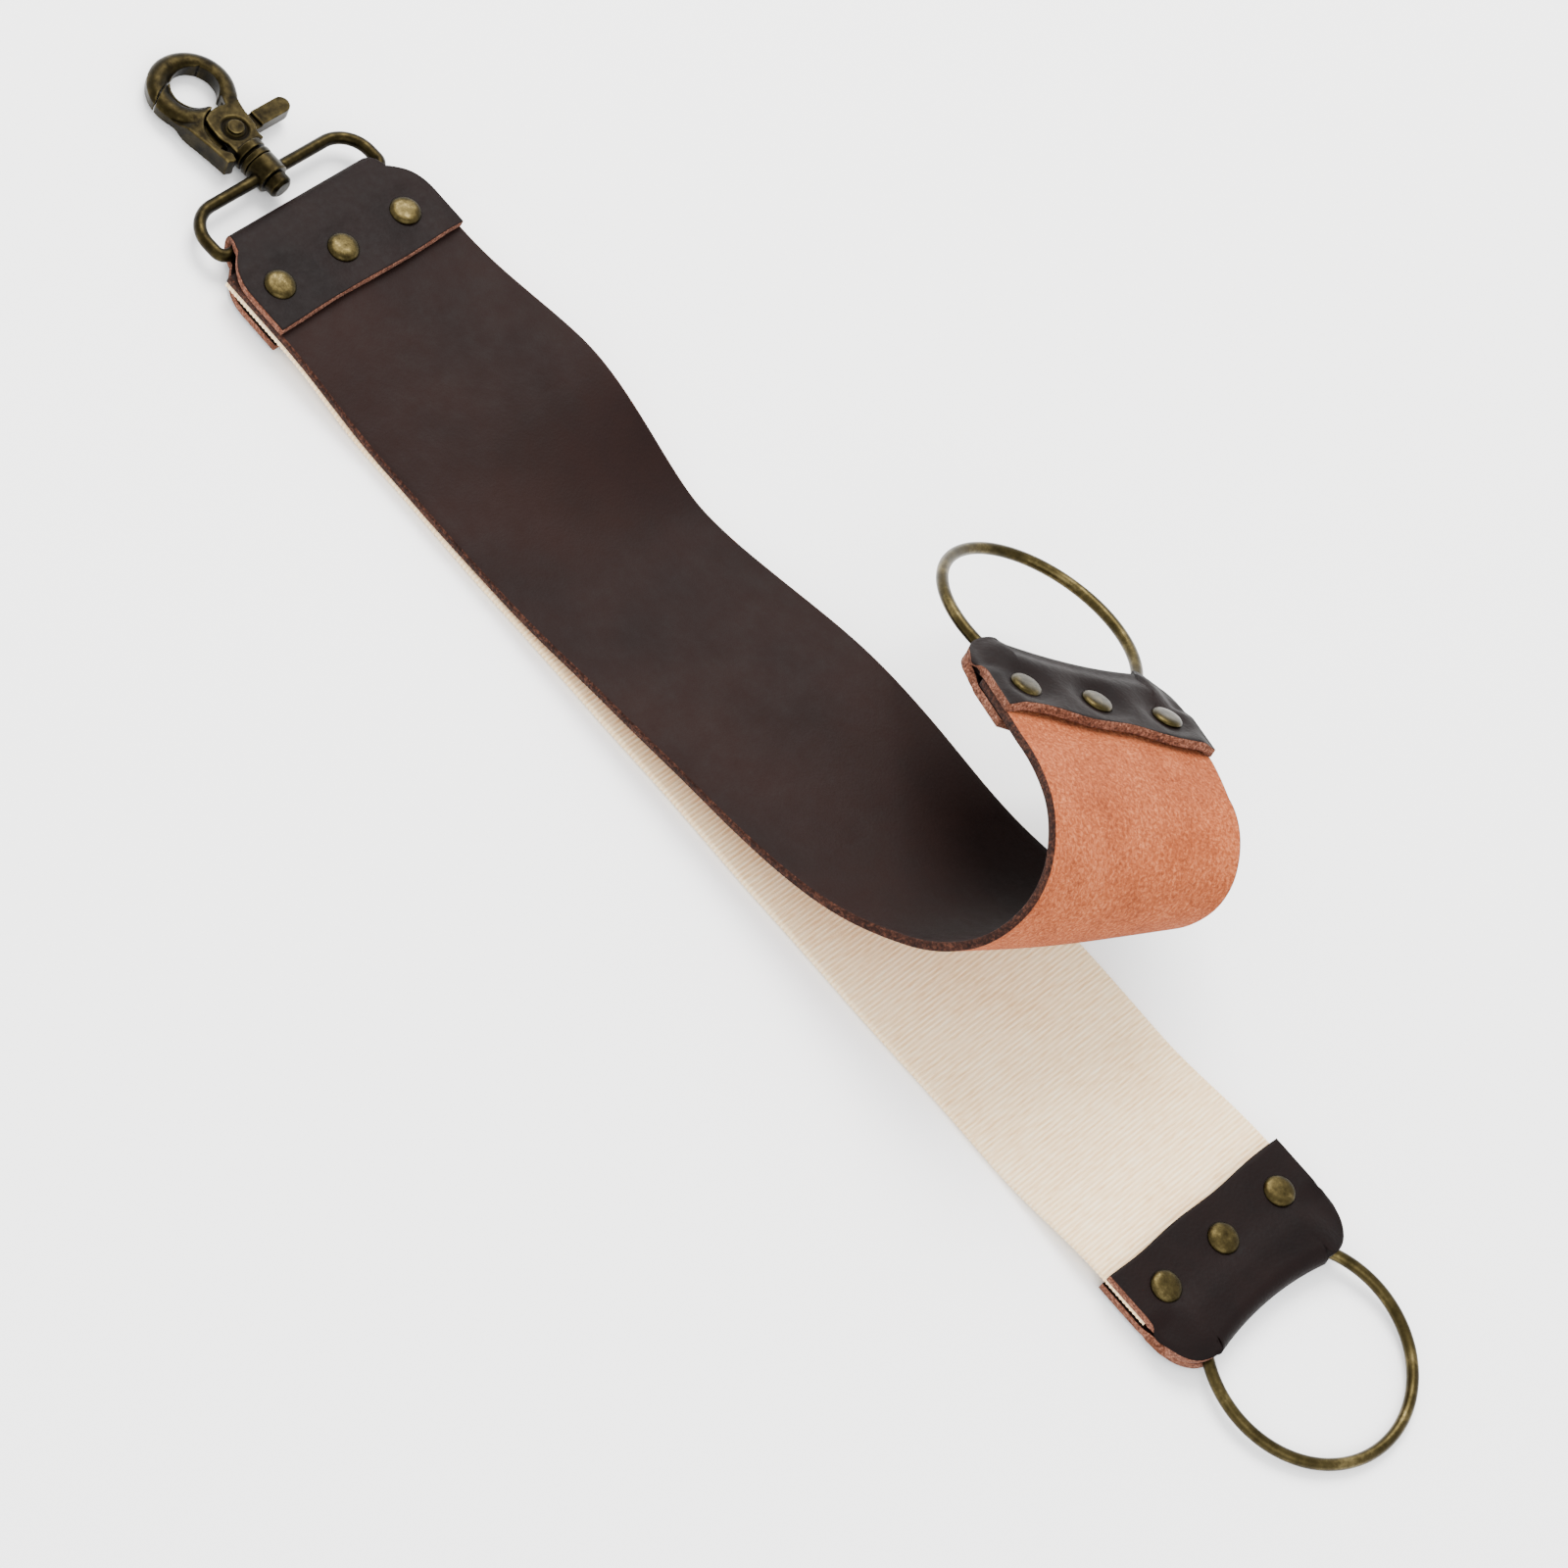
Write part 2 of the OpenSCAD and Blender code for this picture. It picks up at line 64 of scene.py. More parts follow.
camera_data = bpy.data.cameras.new("studio_camera")
camera_data.lens = 124.2
camera_data.sensor_width = 36.0
camera_data.clip_start = 0.05
camera_data.clip_end = 20.0
camera = bpy.data.objects.new("studio_camera", camera_data)
bpy.context.collection.objects.link(camera)
towards_camera = Vector((
    math.sin(look_round) * math.cos(look_down),
    -math.cos(look_round) * math.cos(look_down),
    math.sin(look_down),
))
camera.location = look_at + look_distance * towards_camera
camera.rotation_mode = "QUATERNION"
camera.rotation_quaternion = towards_camera.to_track_quat("Z", "Y") @ Quaternion((0, 0, 1), look_turn)
bpy.context.scene.camera = camera


def soft_light(name, place, aim, size, power, colour):
    """A large square area light at a place, aimed at a point."""
    data = bpy.data.lights.new(name, "AREA")
    data.size = size
    data.energy = power
    data.color = colour
    light = bpy.data.objects.new(name, data)
    light.location = place
    light.rotation_mode = "QUATERNION"
    light.rotation_quaternion = (Vector(place) - Vector(aim)).to_track_quat("Z", "Y")
    bpy.context.collection.objects.link(light)


soft_light("key_light", (-0.7, 0.55, 1.3), (0, 0, 0), 0.9, 50, (1.0, 0.985, 0.96))
soft_light("fill_light", (0.9, -0.8, 1.2), (0, 0, 0), 1.2, 22, (0.96, 0.98, 1.0))

sky = bpy.data.worlds.new("studio_sky")
sky.use_nodes = True
sky.node_tree.nodes["Background"].inputs["Color"].default_value = (1.0, 1.0, 1.0, 1.0)
sky.node_tree.nodes["Background"].inputs["Strength"].default_value = 2.3
bpy.context.scene.world = sky

floor_half = 4.0
floor_mesh = bpy.data.meshes.new("studio_floor")
floor_mesh.from_pydata(
    [(x * floor_half, y * floor_half, 0) for x, y in ((-1, -1), (1, -1), (1, 1), (-1, 1))],
    [],
    [(0, 1, 2, 3)],
)
floor_mesh.transform(Matrix.Translation((0, 0, -0.0002)))
floor = bpy.data.objects.new("studio_floor", floor_mesh)
bpy.context.collection.objects.link(floor)
floor_paper = bpy.data.materials.new("pale_paper")
floor_paper.use_nodes = True
floor_paper.node_tree.nodes["Principled BSDF"].inputs["Base Color"].default_value = (0.97, 0.97, 0.97, 1)
floor_paper.node_tree.nodes["Principled BSDF"].inputs["Roughness"].default_value = 0.9
floor_mesh.materials.append(floor_paper)

# ------------------------------------------------------------------------------------------------
# Canvas strap: one length of thick undyed cotton webbing with fine ribs across it and a rounded
# woven selvedge at each side. It is clamped in the head tab at one end and in its tail tab at the
# other, and it lies on the table between them.
# ------------------------------------------------------------------------------------------------
MM = 0.001
head_low, head_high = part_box("head_tab")
straps_at = np.array([head_high.x / MM, (head_low.y + head_high.y) / 2 / MM, 0.0])

strap_w = 60.0
canvas_t = 2.2
canvas_len = 290.0
canvas_clamped = 18.7
canvas_in_tail = 12.9
canvas_drop = 3.4
canvas_drop_len = 36.0
rib_pitch = 1.12
rib_depth = 0.22
rib_steps = 4


def ease(t):
    """0 to 1 along a smooth half wave."""
    return (1 - np.cos(math.pi * np.clip(t, 0, 1))) / 2


def new_object(name, points, faces, smooth=True):
    """An object from points in millimetres, measured from the middle of the head tab's straight edge."""
    mesh = bpy.data.meshes.new(name)
    mesh.from_pydata(((np.asarray(points) + straps_at) * MM).tolist(), [], faces)
    mesh.update()
    mesh.polygons.foreach_set("use_smooth", [smooth] * len(mesh.polygons))
    piece = bpy.data.objects.new(name, mesh)
    bpy.context.collection.objects.link(piece)
    return piece


def tube_faces(rows, ring):
    """Faces of a closed skin over rows of ring points, with a flat face at each end."""
    faces = []
    for i in range(rows - 1):
        for j in range(ring):
            a = i * ring + j
            b = i * ring + (j + 1) % ring
            faces.append((a, b, b + ring, a + ring))
    faces.append(tuple(range(ring - 1, -1, -1)))
    faces.append(tuple(range((rows - 1) * ring, rows * ring)))
    return faces


def add(tree, kind, **values):
    """A shader or geometry node with its settings and its unlinked inputs."""
    new = tree.nodes.new(kind)
    for key, value in values.items():
        if hasattr(new, key):
            setattr(new, key, value)
        else:
            new.inputs[key.replace("_", " ")].default_value = value
    return new


def ramp(tree, source, stops):
    """A colour ramp over a value, from (place, colour) stops."""
    new = tree.nodes.new("ShaderNodeValToRGB")
    while len(new.color_ramp.elements) < len(stops):
        new.color_ramp.elements.new(0.5)
    for element, (place, colour) in zip(new.color_ramp.elements, stops):
        element.position = place
        element.color = (*colour, 1.0)
    tree.links.new(source, new.inputs["Fac"])
    return new.outputs["Color"]


def arithmetic(tree, operation, a, b):
    """One Math node; a and b are sockets or numbers."""
    new = tree.nodes.new("ShaderNodeMath")
    new.operation = operation
    for socket, value in zip(new.inputs, (a, b)):
        if isinstance(value, (int, float)):
            socket.default_value = value
        else:
            tree.links.new(value, socket)
    return new.outputs["Value"]


def weighted(tree, a, share_a, b, share_b):
    """Two values added in given shares."""
    part_a = arithmetic(tree, "MULTIPLY", a, share_a)
    part_b = arithmetic(tree, "MULTIPLY", b, share_b)
    return arithmetic(tree, "ADD", part_a, part_b)


def float_socket(tree, name, value=None):
    """A named float input with its value, or a named float output where no value is given."""
    way = "OUTPUT" if value is None else "INPUT"
    socket = tree.interface.new_socket(name, in_out=way, socket_type="NodeSocketFloat")
    if value is not None:
        socket.default_value = value


def new_material(name):
    """A material with nodes, and its shader."""
    material = bpy.data.materials.new(name)
    material.use_nodes = True
    return material, material.node_tree, material.node_tree.nodes["Principled BSDF"]


def bumped(tree, shader, height, distance, strength=1.0):
    """Sends a height through a Bump node to the shader's normal."""
    bump = add(tree, "ShaderNodeBump", Strength=strength, Distance=distance)
    tree.links.new(height, bump.inputs["Height"])
    tree.links.new(bump.outputs["Normal"], shader.inputs["Normal"])


selvedge_r = canvas_t / 2
top_y = np.concatenate([
    -strap_w / 2 + selvedge_r * (1 - np.cos(np.linspace(0.12, math.pi / 2, 5)[:-1])),
    np.linspace(-strap_w / 2 + selvedge_r, strap_w / 2 - selvedge_r, 16),
    strap_w / 2 - selvedge_r * (1 - np.cos(np.linspace(math.pi / 2, 0.12, 5)[1:])),
])
edge_in = np.clip((np.abs(top_y) - (strap_w / 2 - selvedge_r)) / selvedge_r, 0, 1)
half_t = canvas_t / 2 * np.sqrt(1 - edge_in ** 2)
ring_y = np.concatenate([top_y, top_y[::-1]])
ring_z = np.concatenate([half_t, -half_t[::-1]])

row_count = int((canvas_clamped + canvas_len + canvas_in_tail) / rib_pitch * rib_steps)
row_x = np.linspace(-canvas_clamped, canvas_len + canvas_in_tail, row_count)
rib = rib_depth * np.abs(np.cos(math.pi * row_x / rib_pitch)) ** 0.8
falling = ease(row_x / canvas_drop_len)
rising = ease((row_x - canvas_len + canvas_drop_len) / canvas_drop_len)
drop = canvas_drop * (1 - falling + rising)
# The edges wander a little where nothing clamps them, and the surface is faintly uneven
wander = 0.28 * np.sin(row_x / 17.0) + 0.2 * np.sin(row_x / 7.3 + 1.0)
free = ease(row_x / 20) * ease((canvas_len - row_x) / 20)
grid_x, grid_y = np.meshgrid(row_x, ring_y, indexing="ij")
side = np.sign(ring_y) * edge_in[np.r_[0:len(top_y), len(top_y) - 1:-1:-1]]
grid_y = grid_y * (1 - 0.0035) + np.outer(wander * free, np.abs(ring_y) / strap_w * 0.9)
grid_y = grid_y - np.outer(rib * 0.9, side)
rib_share = 1 - rib[:, None] / (canvas_t / 2)
ripple = 0.09 * np.sin(grid_x / 6.1 + grid_y / 9.0) + 0.07 * np.sin(grid_x / 3.7 - grid_y / 5.0)
grid_z = drop[:, None] + canvas_t / 2 - 0.03 + ring_z[None, :] * rib_share * (0.965 + 0.1 * ripple)
canvas_points = np.stack([grid_x, grid_y, grid_z], axis=-1).reshape(-1, 3)
webbing = new_object("canvas_webbing", canvas_points, tube_faces(len(row_x), len(ring_y)))
# Painted shade: each row stores how deep its rib valley lies, so the cotton's colour can be darkened there
rib_valley_shade = np.repeat(rib / rib_depth, len(ring_y))
webbing.data.attributes.new("rib_valley_shade", "FLOAT", "POINT").data.foreach_set("value", rib_valley_shade.astype(np.float32))

cotton, tree, shader = new_material("undyed_cotton")
place = add(tree, "ShaderNodeTexCoord").outputs["Object"]
stretch = add(tree, "ShaderNodeMapping", Scale=(1, 0.12, 1))
tree.links.new(place, stretch.inputs["Vector"])
yarn = add(tree, "ShaderNodeTexNoise", Scale=1900.0, Detail=3.0, Roughness=0.65)
tree.links.new(stretch.outputs["Vector"], yarn.inputs["Vector"])
cloud = add(tree, "ShaderNodeTexNoise", Scale=42.0, Detail=4.0, Roughness=0.6)
tree.links.new(place, cloud.inputs["Vector"])
fleck = add(tree, "ShaderNodeTexNoise", Scale=2600.0, Detail=2.0)
tree.links.new(place, fleck.inputs["Vector"])
shade = weighted(tree, yarn.outputs["Fac"], 0.75, cloud.outputs["Fac"], 0.25)
cream = ramp(tree, shade, [
    (0.32, (0.82, 0.59, 0.34)),
    (0.5, (0.97, 0.79, 0.51)),
    (0.68, (0.99, 0.90, 0.67)),
])
# Painted shade: the cream is multiplied towards a darker brown in the valleys between the ribs
valley_shade_depth = add(tree, "ShaderNodeAttribute", attribute_name="rib_valley_shade")
shadowed = add(tree, "ShaderNodeMix", data_type="RGBA", blend_type="MULTIPLY")
tree.links.new(arithmetic(tree, "MULTIPLY", valley_shade_depth.outputs["Fac"], 0.75), shadowed.inputs["Factor"])
tree.links.new(cream, shadowed.inputs[6])
shadowed.inputs[7].default_value = (0.62, 0.49, 0.36, 1.0)
tree.links.new(shadowed.outputs[2], shader.inputs["Base Color"])
flecks = arithmetic(tree, "MULTIPLY", fleck.outputs["Fac"], 0.6)
weave = arithmetic(tree, "ADD", yarn.outputs["Fac"], flecks)
bumped(tree, shader, weave, 0.00018, 0.8)
shader.inputs["Roughness"].default_value = 0.92
shader.inputs["Specular IOR Level"].default_value = 0.15
shader.inputs["Sheen Weight"].default_value = 0.05
webbing.data.materials.append(cotton)
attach(webbing, "head")
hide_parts("canvas_strap")

# ------------------------------------------------------------------------------------------------
# Leather strap: one strip of bridle leather, smooth and dark on the grain side and rough orange
# suede on the flesh side, with bare fibrous edges where it was cut. It lies over the canvas in two
# low waves, then curls up and back over itself. It slopes down from the edge of the head tab.
# ------------------------------------------------------------------------------------------------
leather_len = 298.0
leather_t = 2.2
leather_clamped = 18.7
leather_in_tail = 12.9
leather_mid_z = 6.7
leather_drop = 3.1
leather_drop_len = 40.0
# Bends: where each starts, its length, its angle and the skew of its line across the strap
bends = [(60, 60, 7, 25), (172, 90, 52, 38), (216, 78, 146, 13)]
bend_shares = np.array([1, 2, 3, 2, 1]) / 9
# Waves: middle, half length and height at the far edge
waves = [(46, 46, 10), (146, 60, 6)]


def past_bend(points, along, across, start, length, angle, skew):
    """Carries points of the flat strap round one bend."""
    c, k = math.cos(skew), math.sin(skew)
    first = start * c
    arc = length * c
    passed = np.clip(along * c - across * k - first, 0, arc)
    turn = angle * passed / arc
    r = arc / angle
    ahead = points[0] * c - points[1] * k - first - passed
    sideways = points[0] * k + points[1] * c
    out = first + r * np.sin(turn) + ahead * np.cos(turn) - points[2] * np.sin(turn)
    up = r * (1 - np.cos(turn)) + ahead * np.sin(turn) + points[2] * np.cos(turn)
    return np.stack([out * c + sideways * k, -out * k + sideways * c, up])


def strap_point(along, across, above):
    """Where a point of the leather strap is: along it, across it and above its middle surface."""
    along, across, above = np.broadcast_arrays(*(np.asarray(x, float) for x in (along, across, above)))
    wave = sum(
        height * (1 + np.cos(math.pi * np.clip((along - middle) / half, -1, 1))) / 2
        for middle, half, height in waves
    )
    points = np.stack([along, across, above + (0.5 + across / strap_w) * wave])
    for start, length, angle, skew in reversed(bends):
        step = length / len(bend_shares)
        for i in reversed(range(len(bend_shares))):
            part = math.radians(angle) * bend_shares[i]
            points = past_bend(points, along, across, start + i * step, step, part, math.radians(skew))
    points[2] += leather_mid_z - leather_drop * ease(along / leather_drop_len)
    return np.moveaxis(points, 0, -1)


edge_r = 0.45
corner = np.linspace(0, math.pi / 2, 4)
flat_count = 34
edge_count = 2 * (len(corner) - 1) + 1
flat_y = np.linspace(-strap_w / 2 + edge_r, strap_w / 2 - edge_r, flat_count)
skin_h = leather_t / 2
round_y = edge_r * np.sin(corner)[1:]
round_h = edge_r * (1 - np.cos(corner))[1:]
far_y = flat_y[-1] + round_y
near_y = flat_y[0] - round_y
edge_h = skin_h - round_h
ring_y = np.concatenate([flat_y, far_y, far_y[::-1], flat_y[::-1], near_y, near_y[::-1]])
ring_h = np.concatenate([
    np.full(flat_count, skin_h), edge_h, -edge_h[::-1],
    np.full(flat_count, -skin_h), -edge_h, edge_h[::-1],
])
side_of = ["grain"] * (flat_count - 1) + ["edge"] * edge_count
side_of += ["flesh"] * (flat_count - 1) + ["edge"] * edge_count
leather_rows = 420
leather_s = np.linspace(-leather_clamped, leather_len + leather_in_tail, leather_rows)
s_grid, y_grid = np.meshgrid(leather_s, ring_y, indexing="ij")
h_grid = np.broadcast_to(ring_h, s_grid.shape)
loose = ease((s_grid - 24) / 30) * ease((leather_len - s_grid) / 10)
undulation = 0.10 * np.sin(s_grid / 13.0 + y_grid / 11.0)
undulation = undulation + 0.07 * np.sin(s_grid / 7.1 - y_grid / 8.3 + 1.3)
edge_wander = 0.22 * np.sin(s_grid / 19.0 + 0.6) + 0.10 * np.sin(s_grid / 5.3)
wandering_y = y_grid * (1 - 0.003) + edge_wander * loose * np.abs(y_grid) / strap_w
leather_points = strap_point(s_grid, wandering_y, h_grid + loose * undulation)
faces = tube_faces(len(leather_s), len(ring_y))
outward_faces = [face[::-1] for face in faces]
leather_strap = new_object("leather_strip", leather_points.reshape(-1, 3), outward_faces)

strip_map = leather_strap.data.uv_layers.new(name="strip")
loop_vertex = np.zeros(len(leather_strap.data.loops), int)
leather_strap.data.loops.foreach_get("vertex_index", loop_vertex)
# The flesh side is laid out beside the grain side, clear of it
flesh_aside = 70
map_y = y_grid.reshape(-1) + np.where(h_grid.reshape(-1) < 0, flesh_aside, 0)
flat_map = np.stack([s_grid.reshape(-1), map_y], axis=-1) * MM
strip_map.data.foreach_set("uv", flat_map[loop_vertex].astype(np.float32).reshape(-1))


def leather_texture_group():
    """Surface of tanned hide: its fine pores and wrinkles, and the slow change of tone over it."""
    group = bpy.data.node_groups.new("hide_surface", "ShaderNodeTree")
    group.interface.new_socket("Vector", in_out="INPUT", socket_type="NodeSocketVector")
    float_socket(group, "Pore Scale", 1500.0)
    float_socket(group, "Tone Scale", 30.0)
    for name in ("Height", "Tone", "Scuff"):
        float_socket(group, name)
    given = group.nodes.new("NodeGroupInput")
    result = group.nodes.new("NodeGroupOutput")
    pores = add(group, "ShaderNodeTexVoronoi", feature="SMOOTH_F1")
    wrinkle = add(group, "ShaderNodeTexNoise", Detail=4.0, Roughness=0.6)
    tone = add(group, "ShaderNodeTexNoise", Detail=3.0, Roughness=0.55)
    scuff = add(group, "ShaderNodeTexNoise", Detail=6.0, Roughness=0.75)
    for texture in (pores, wrinkle, tone, scuff):
        group.links.new(given.outputs["Vector"], texture.inputs["Vector"])
    group.links.new(given.outputs["Pore Scale"], pores.inputs["Scale"])
    wrinkle_scale = arithmetic(group, "MULTIPLY", given.outputs["Pore Scale"], 0.37)
    group.links.new(wrinkle_scale, wrinkle.inputs["Scale"])
    group.links.new(given.outputs["Tone Scale"], tone.inputs["Scale"])
    scuff_scale = arithmetic(group, "MULTIPLY", given.outputs["Tone Scale"], 7.0)
    group.links.new(scuff_scale, scuff.inputs["Scale"])
    deep = arithmetic(group, "MULTIPLY", pores.outputs["Distance"], 0.55)
    height = arithmetic(group, "ADD", deep, wrinkle.outputs["Fac"])
    group.links.new(height, result.inputs["Height"])
    group.links.new(tone.outputs["Fac"], result.inputs["Tone"])
    group.links.new(scuff.outputs["Fac"], result.inputs["Scuff"])
    return group


hide_surface = leather_texture_group()


def grain_material(name, dark, light, roughness, coordinates, pore_scale, tone_scale, depth):
    """Smooth dyed grain side of leather."""
    material, tree, shader = new_material(name)
    place = add(tree, "ShaderNodeTexCoord").outputs[coordinates]
    hide = add(tree, "ShaderNodeGroup", node_tree=hide_surface)
    hide.inputs["Pore Scale"].default_value = pore_scale
    hide.inputs["Tone Scale"].default_value = tone_scale
    tree.links.new(place, hide.inputs["Vector"])
    mixed = weighted(tree, hide.outputs["Tone"], 0.7, hide.outputs["Scuff"], 0.3)
    tree.links.new(ramp(tree, mixed, [(0.36, dark), (0.64, light)]), shader.inputs["Base Color"])
    scuffed = arithmetic(tree, "MULTIPLY", hide.outputs["Scuff"], 0.3)
    gloss = arithmetic(tree, "ADD", scuffed, roughness - 0.15)
    tree.links.new(gloss, shader.inputs["Roughness"])
    bumped(tree, shader, hide.outputs["Height"], depth, 0.7)
    shader.inputs["Specular IOR Level"].default_value = 0.07
    return material


def fibre_material(name, stops, fibre_scale, depth, coordinates):
    """Bare leather fibres: the suede of a flesh side or the fuzz of a cut edge."""
    material, tree, shader = new_material(name)
    place = add(tree, "ShaderNodeTexCoord").outputs[coordinates]
    fibres = add(tree, "ShaderNodeTexNoise", Scale=fibre_scale, Detail=6.0, Roughness=0.72, Distortion=0.6)
    patches = add(tree, "ShaderNodeTexNoise", Scale=fibre_scale / 14, Detail=3.0, Roughness=0.6)
    for texture in (fibres, patches):
        tree.links.new(place, texture.inputs["Vector"])
    mixed = weighted(tree, fibres.outputs["Fac"], 0.8, patches.outputs["Fac"], 0.2)
    tree.links.new(ramp(tree, mixed, stops), shader.inputs["Base Color"])
    bumped(tree, shader, fibres.outputs["Fac"], depth, 1.0)
    shader.inputs["Roughness"].default_value = 0.95
    shader.inputs["Specular IOR Level"].default_value = 0.1
    shader.inputs["Sheen Weight"].default_value = 0.03
    return material


strap_grain = grain_material(
    "strap_grain", (0.0043, 0.0011, 0.0007), (0.0090, 0.0030, 0.0021), 0.6, "UV", 1700.0, 22.0, 0.00008
)
suede_tones = [
    (0.36, (0.14, 0.027, 0.0066)),
    (0.5, (0.26, 0.060, 0.0175)),
    (0.64, (0.43, 0.135, 0.052)),
]
strap_suede = fibre_material("strap_suede", suede_tones, 1100.0, 0.0004, "UV")
dark_edge_tones = [
    (0.38, (0.006, 0.0020, 0.0012)),
    (0.5, (0.018, 0.0058, 0.0034)),
    (0.62, (0.07, 0.025, 0.014)),
]
strap_edge = fibre_material("strap_edge", dark_edge_tones, 1300.0, 0.0003, "Object")
side_index = {"grain": 0, "flesh": 1, "edge": 2}
for material in (strap_grain, strap_suede, strap_edge):
    leather_strap.data.materials.append(material)
ring_materials = [side_index[side] for side in side_of]
leather_strap.data.polygons.foreach_set("material_index", ring_materials * (len(leather_s) - 1) + [2, 2])

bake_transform(leather_strap)
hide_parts("leather_strap", "leather_strap_root")

# ------------------------------------------------------------------------------------------------
# Head tab: one piece of heavier dark leather folded round the bar of the swivel loop, with both
# straps clamped between its layers. Its corners step in at the fold. It dimples a little at each
# of its three rivets, and its cut edges are bare.
# ------------------------------------------------------------------------------------------------
bare_edge_tones = [
    (0.38, (0.030, 0.0085, 0.0042)),
    (0.5, (0.105, 0.036, 0.019)),
    (0.62, (0.27, 0.115, 0.072)),
]
cut_edge = fibre_material("cut_edge", bare_edge_tones, 1500.0, 0.0003, "Object")
tab_t = 2.2
rivet_inset = 9.8
rivet_pitch = 20.5
head_rivet_shift = -1.5
cap_r = 4.0
bar_x = -24.1
bar_z = 5.6
fold_mid_r = 2.8
head_mid_z = 3.3
fold_half_w = 24.3
shoulder_x = -10.0
shoulder_end_x = -22.3
fold_end_x = -28.0
fold_end_half_w = 21.2


def pillow(x, y, rivets, rise, spread):
    """How far the leather stands up between the rivets that hold it down."""
    near = np.min([np.hypot(x - rx, y - ry) for rx, ry in rivets], axis=0)
    return rise * (1 - np.exp(-(np.clip(near - cap_r - 0.3, 0, None) / spread) ** 2))


def leather_sheet(name, middle, cells, thickness, materials):
    """A tab from its middle surface: thickened, its cut edges softened, and faces turned outwards."""
    rows, columns = middle.shape[:2]
    faces = [
        (i * columns + j, (i + 1) * columns + j, (i + 1) * columns + j + 1, i * columns + j + 1)
        for i in range(rows - 1)
        for j in range(columns - 1)
        if cells[i, j]
    ]
    piece = new_object(name, middle.reshape(-1, 3), faces)
    for material in materials:
        piece.data.materials.append(material)
    thick = piece.modifiers.new("thickness", "SOLIDIFY")
    thick.thickness = thickness * MM
    thick.offset = 0.0
    thick.use_quality_normals = True
    thick.use_rim = True
    thick.material_offset_rim = 1
    soften = piece.modifiers.new("soft_edges", "BEVEL")
    soften.width = 0.32 * MM
    soften.segments = 2
    soften.limit_method = "ANGLE"
    soften.angle_limit = math.radians(62)
    baked = bpy.data.meshes.new_from_object(piece.evaluated_get(bpy.context.evaluated_depsgraph_get()))
    piece.modifiers.clear()
    piece.data = baked
    work = bmesh.new()
    work.from_mesh(baked)
    loose_points = [vertex for vertex in work.verts if not vertex.link_faces]
    bmesh.ops.delete(work, geom=loose_points, context="VERTS")
    bmesh.ops.remove_doubles(work, verts=work.verts, dist=0.00001)
    bmesh.ops.recalc_face_normals(work, faces=work.faces)
    work.to_mesh(baked)
    work.free()
    baked.polygons.foreach_set("use_smooth", [True] * len(baked.polygons))
    return piece


front_x = np.concatenate([
    np.linspace(0, shoulder_end_x, 40),
    [-23.2, bar_x],
])
straight = ease((front_x + 16) / (bar_x + 16))
front_z = head_mid_z + (fold_mid_r - head_mid_z) * straight
fold_angle = np.radians(np.linspace(0, 180, 20)[1:-1])
path_x = np.concatenate([front_x, bar_x - fold_mid_r * np.sin(fold_angle), front_x[::-1]])
path_z = np.concatenate([front_z, fold_mid_r * np.cos(fold_angle), -front_z[::-1]])
outward = np.sign(path_z)
shoulder_turn = np.clip((shoulder_x - path_x) / (shoulder_x - shoulder_end_x), 0, 1)
fold_turn = np.clip((shoulder_end_x - path_x) / (shoulder_end_x - fold_end_x), 0, 1)
half_w = strap_w / 2 - (strap_w / 2 - fold_half_w) * shoulder_turn ** 2.6
half_w = half_w - (fold_half_w - fold_end_half_w) * fold_turn ** 1.4
across = np.linspace(-1, 1, 76)
tab_x = np.broadcast_to(path_x[:, None], (len(path_x), len(across))).copy()
tab_y = half_w[:, None] * across
head_rivets = [(-rivet_inset, head_rivet_shift + i * rivet_pitch) for i in (-1, 0, 1)]
flat_part = ease((tab_x + 21) / 5)
inboard = ease((strap_w / 2 - np.abs(tab_y)) / 5)
lift = pillow(tab_x, tab_y, head_rivets, 0.38, 4.5) * flat_part * inboard
lift += flat_part * inboard * 0.08 * np.sin(tab_y / 3.1 + tab_x / 4.0)
tab_z = bar_z + path_z[:, None] + outward[:, None] * lift * np.where(outward[:, None] > 0, 1.0, 0.1)
tab_x[0] += 0.2 * np.sin(tab_y[0] / 6.1)
tab_x[-1] += 0.2 * np.sin(tab_y[-1] / 5.3 + 1)
tab_grain = grain_material(
    "tab_grain", (0.0020, 0.0005, 0.0004), (0.0046, 0.0016, 0.0013), 0.58, "Object", 1300.0, 60.0, 0.00012
)
head_cells = np.ones((len(path_x), len(across)), bool)
head_middle = np.stack([tab_x, tab_y, tab_z], axis=-1)
head_leather = leather_sheet("head_tab_leather", head_middle, head_cells, tab_t, [tab_grain, cut_edge])
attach(head_leather, "head")
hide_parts("head_tab")

# ------------------------------------------------------------------------------------------------
# Tail tabs: each strap ends in a folded tab of the same dark leather, which holds a grip ring in
# its fold. The fold is creased inwards between the two places where the ring comes out, and the
# corners outside them are open. The one on the leather strap is drawn in hard by its rivets.
# ------------------------------------------------------------------------------------------------
tail_len = 29.5
tail_crease = 2.5
tail_corner_r = 9.0
fold_reach_y = 19.3
canvas_tail_z = 4.5
ring_wire_r = 1.5
ring_gap = 0.15
# Past these, in the tab's own frame, its rim faces are grain: they line the open ends of the fold
grain_rim_x = 16
grain_rim_y = 23


def tail_end(y):
    """How far a tail tab reaches at y: hollow in the middle, round at its corners."""
    flat = strap_w / 2 - tail_corner_r
    hollow = tail_len - tail_crease * (1 - (np.abs(y) / flat) ** 2)
    turn = np.clip((np.abs(y) - flat) / tail_corner_r, 0, 1)
    rounded = tail_len - tail_corner_r + tail_corner_r * np.sqrt(1 - turn ** 2)
    return np.where(np.abs(y) < flat, hollow, rounded)


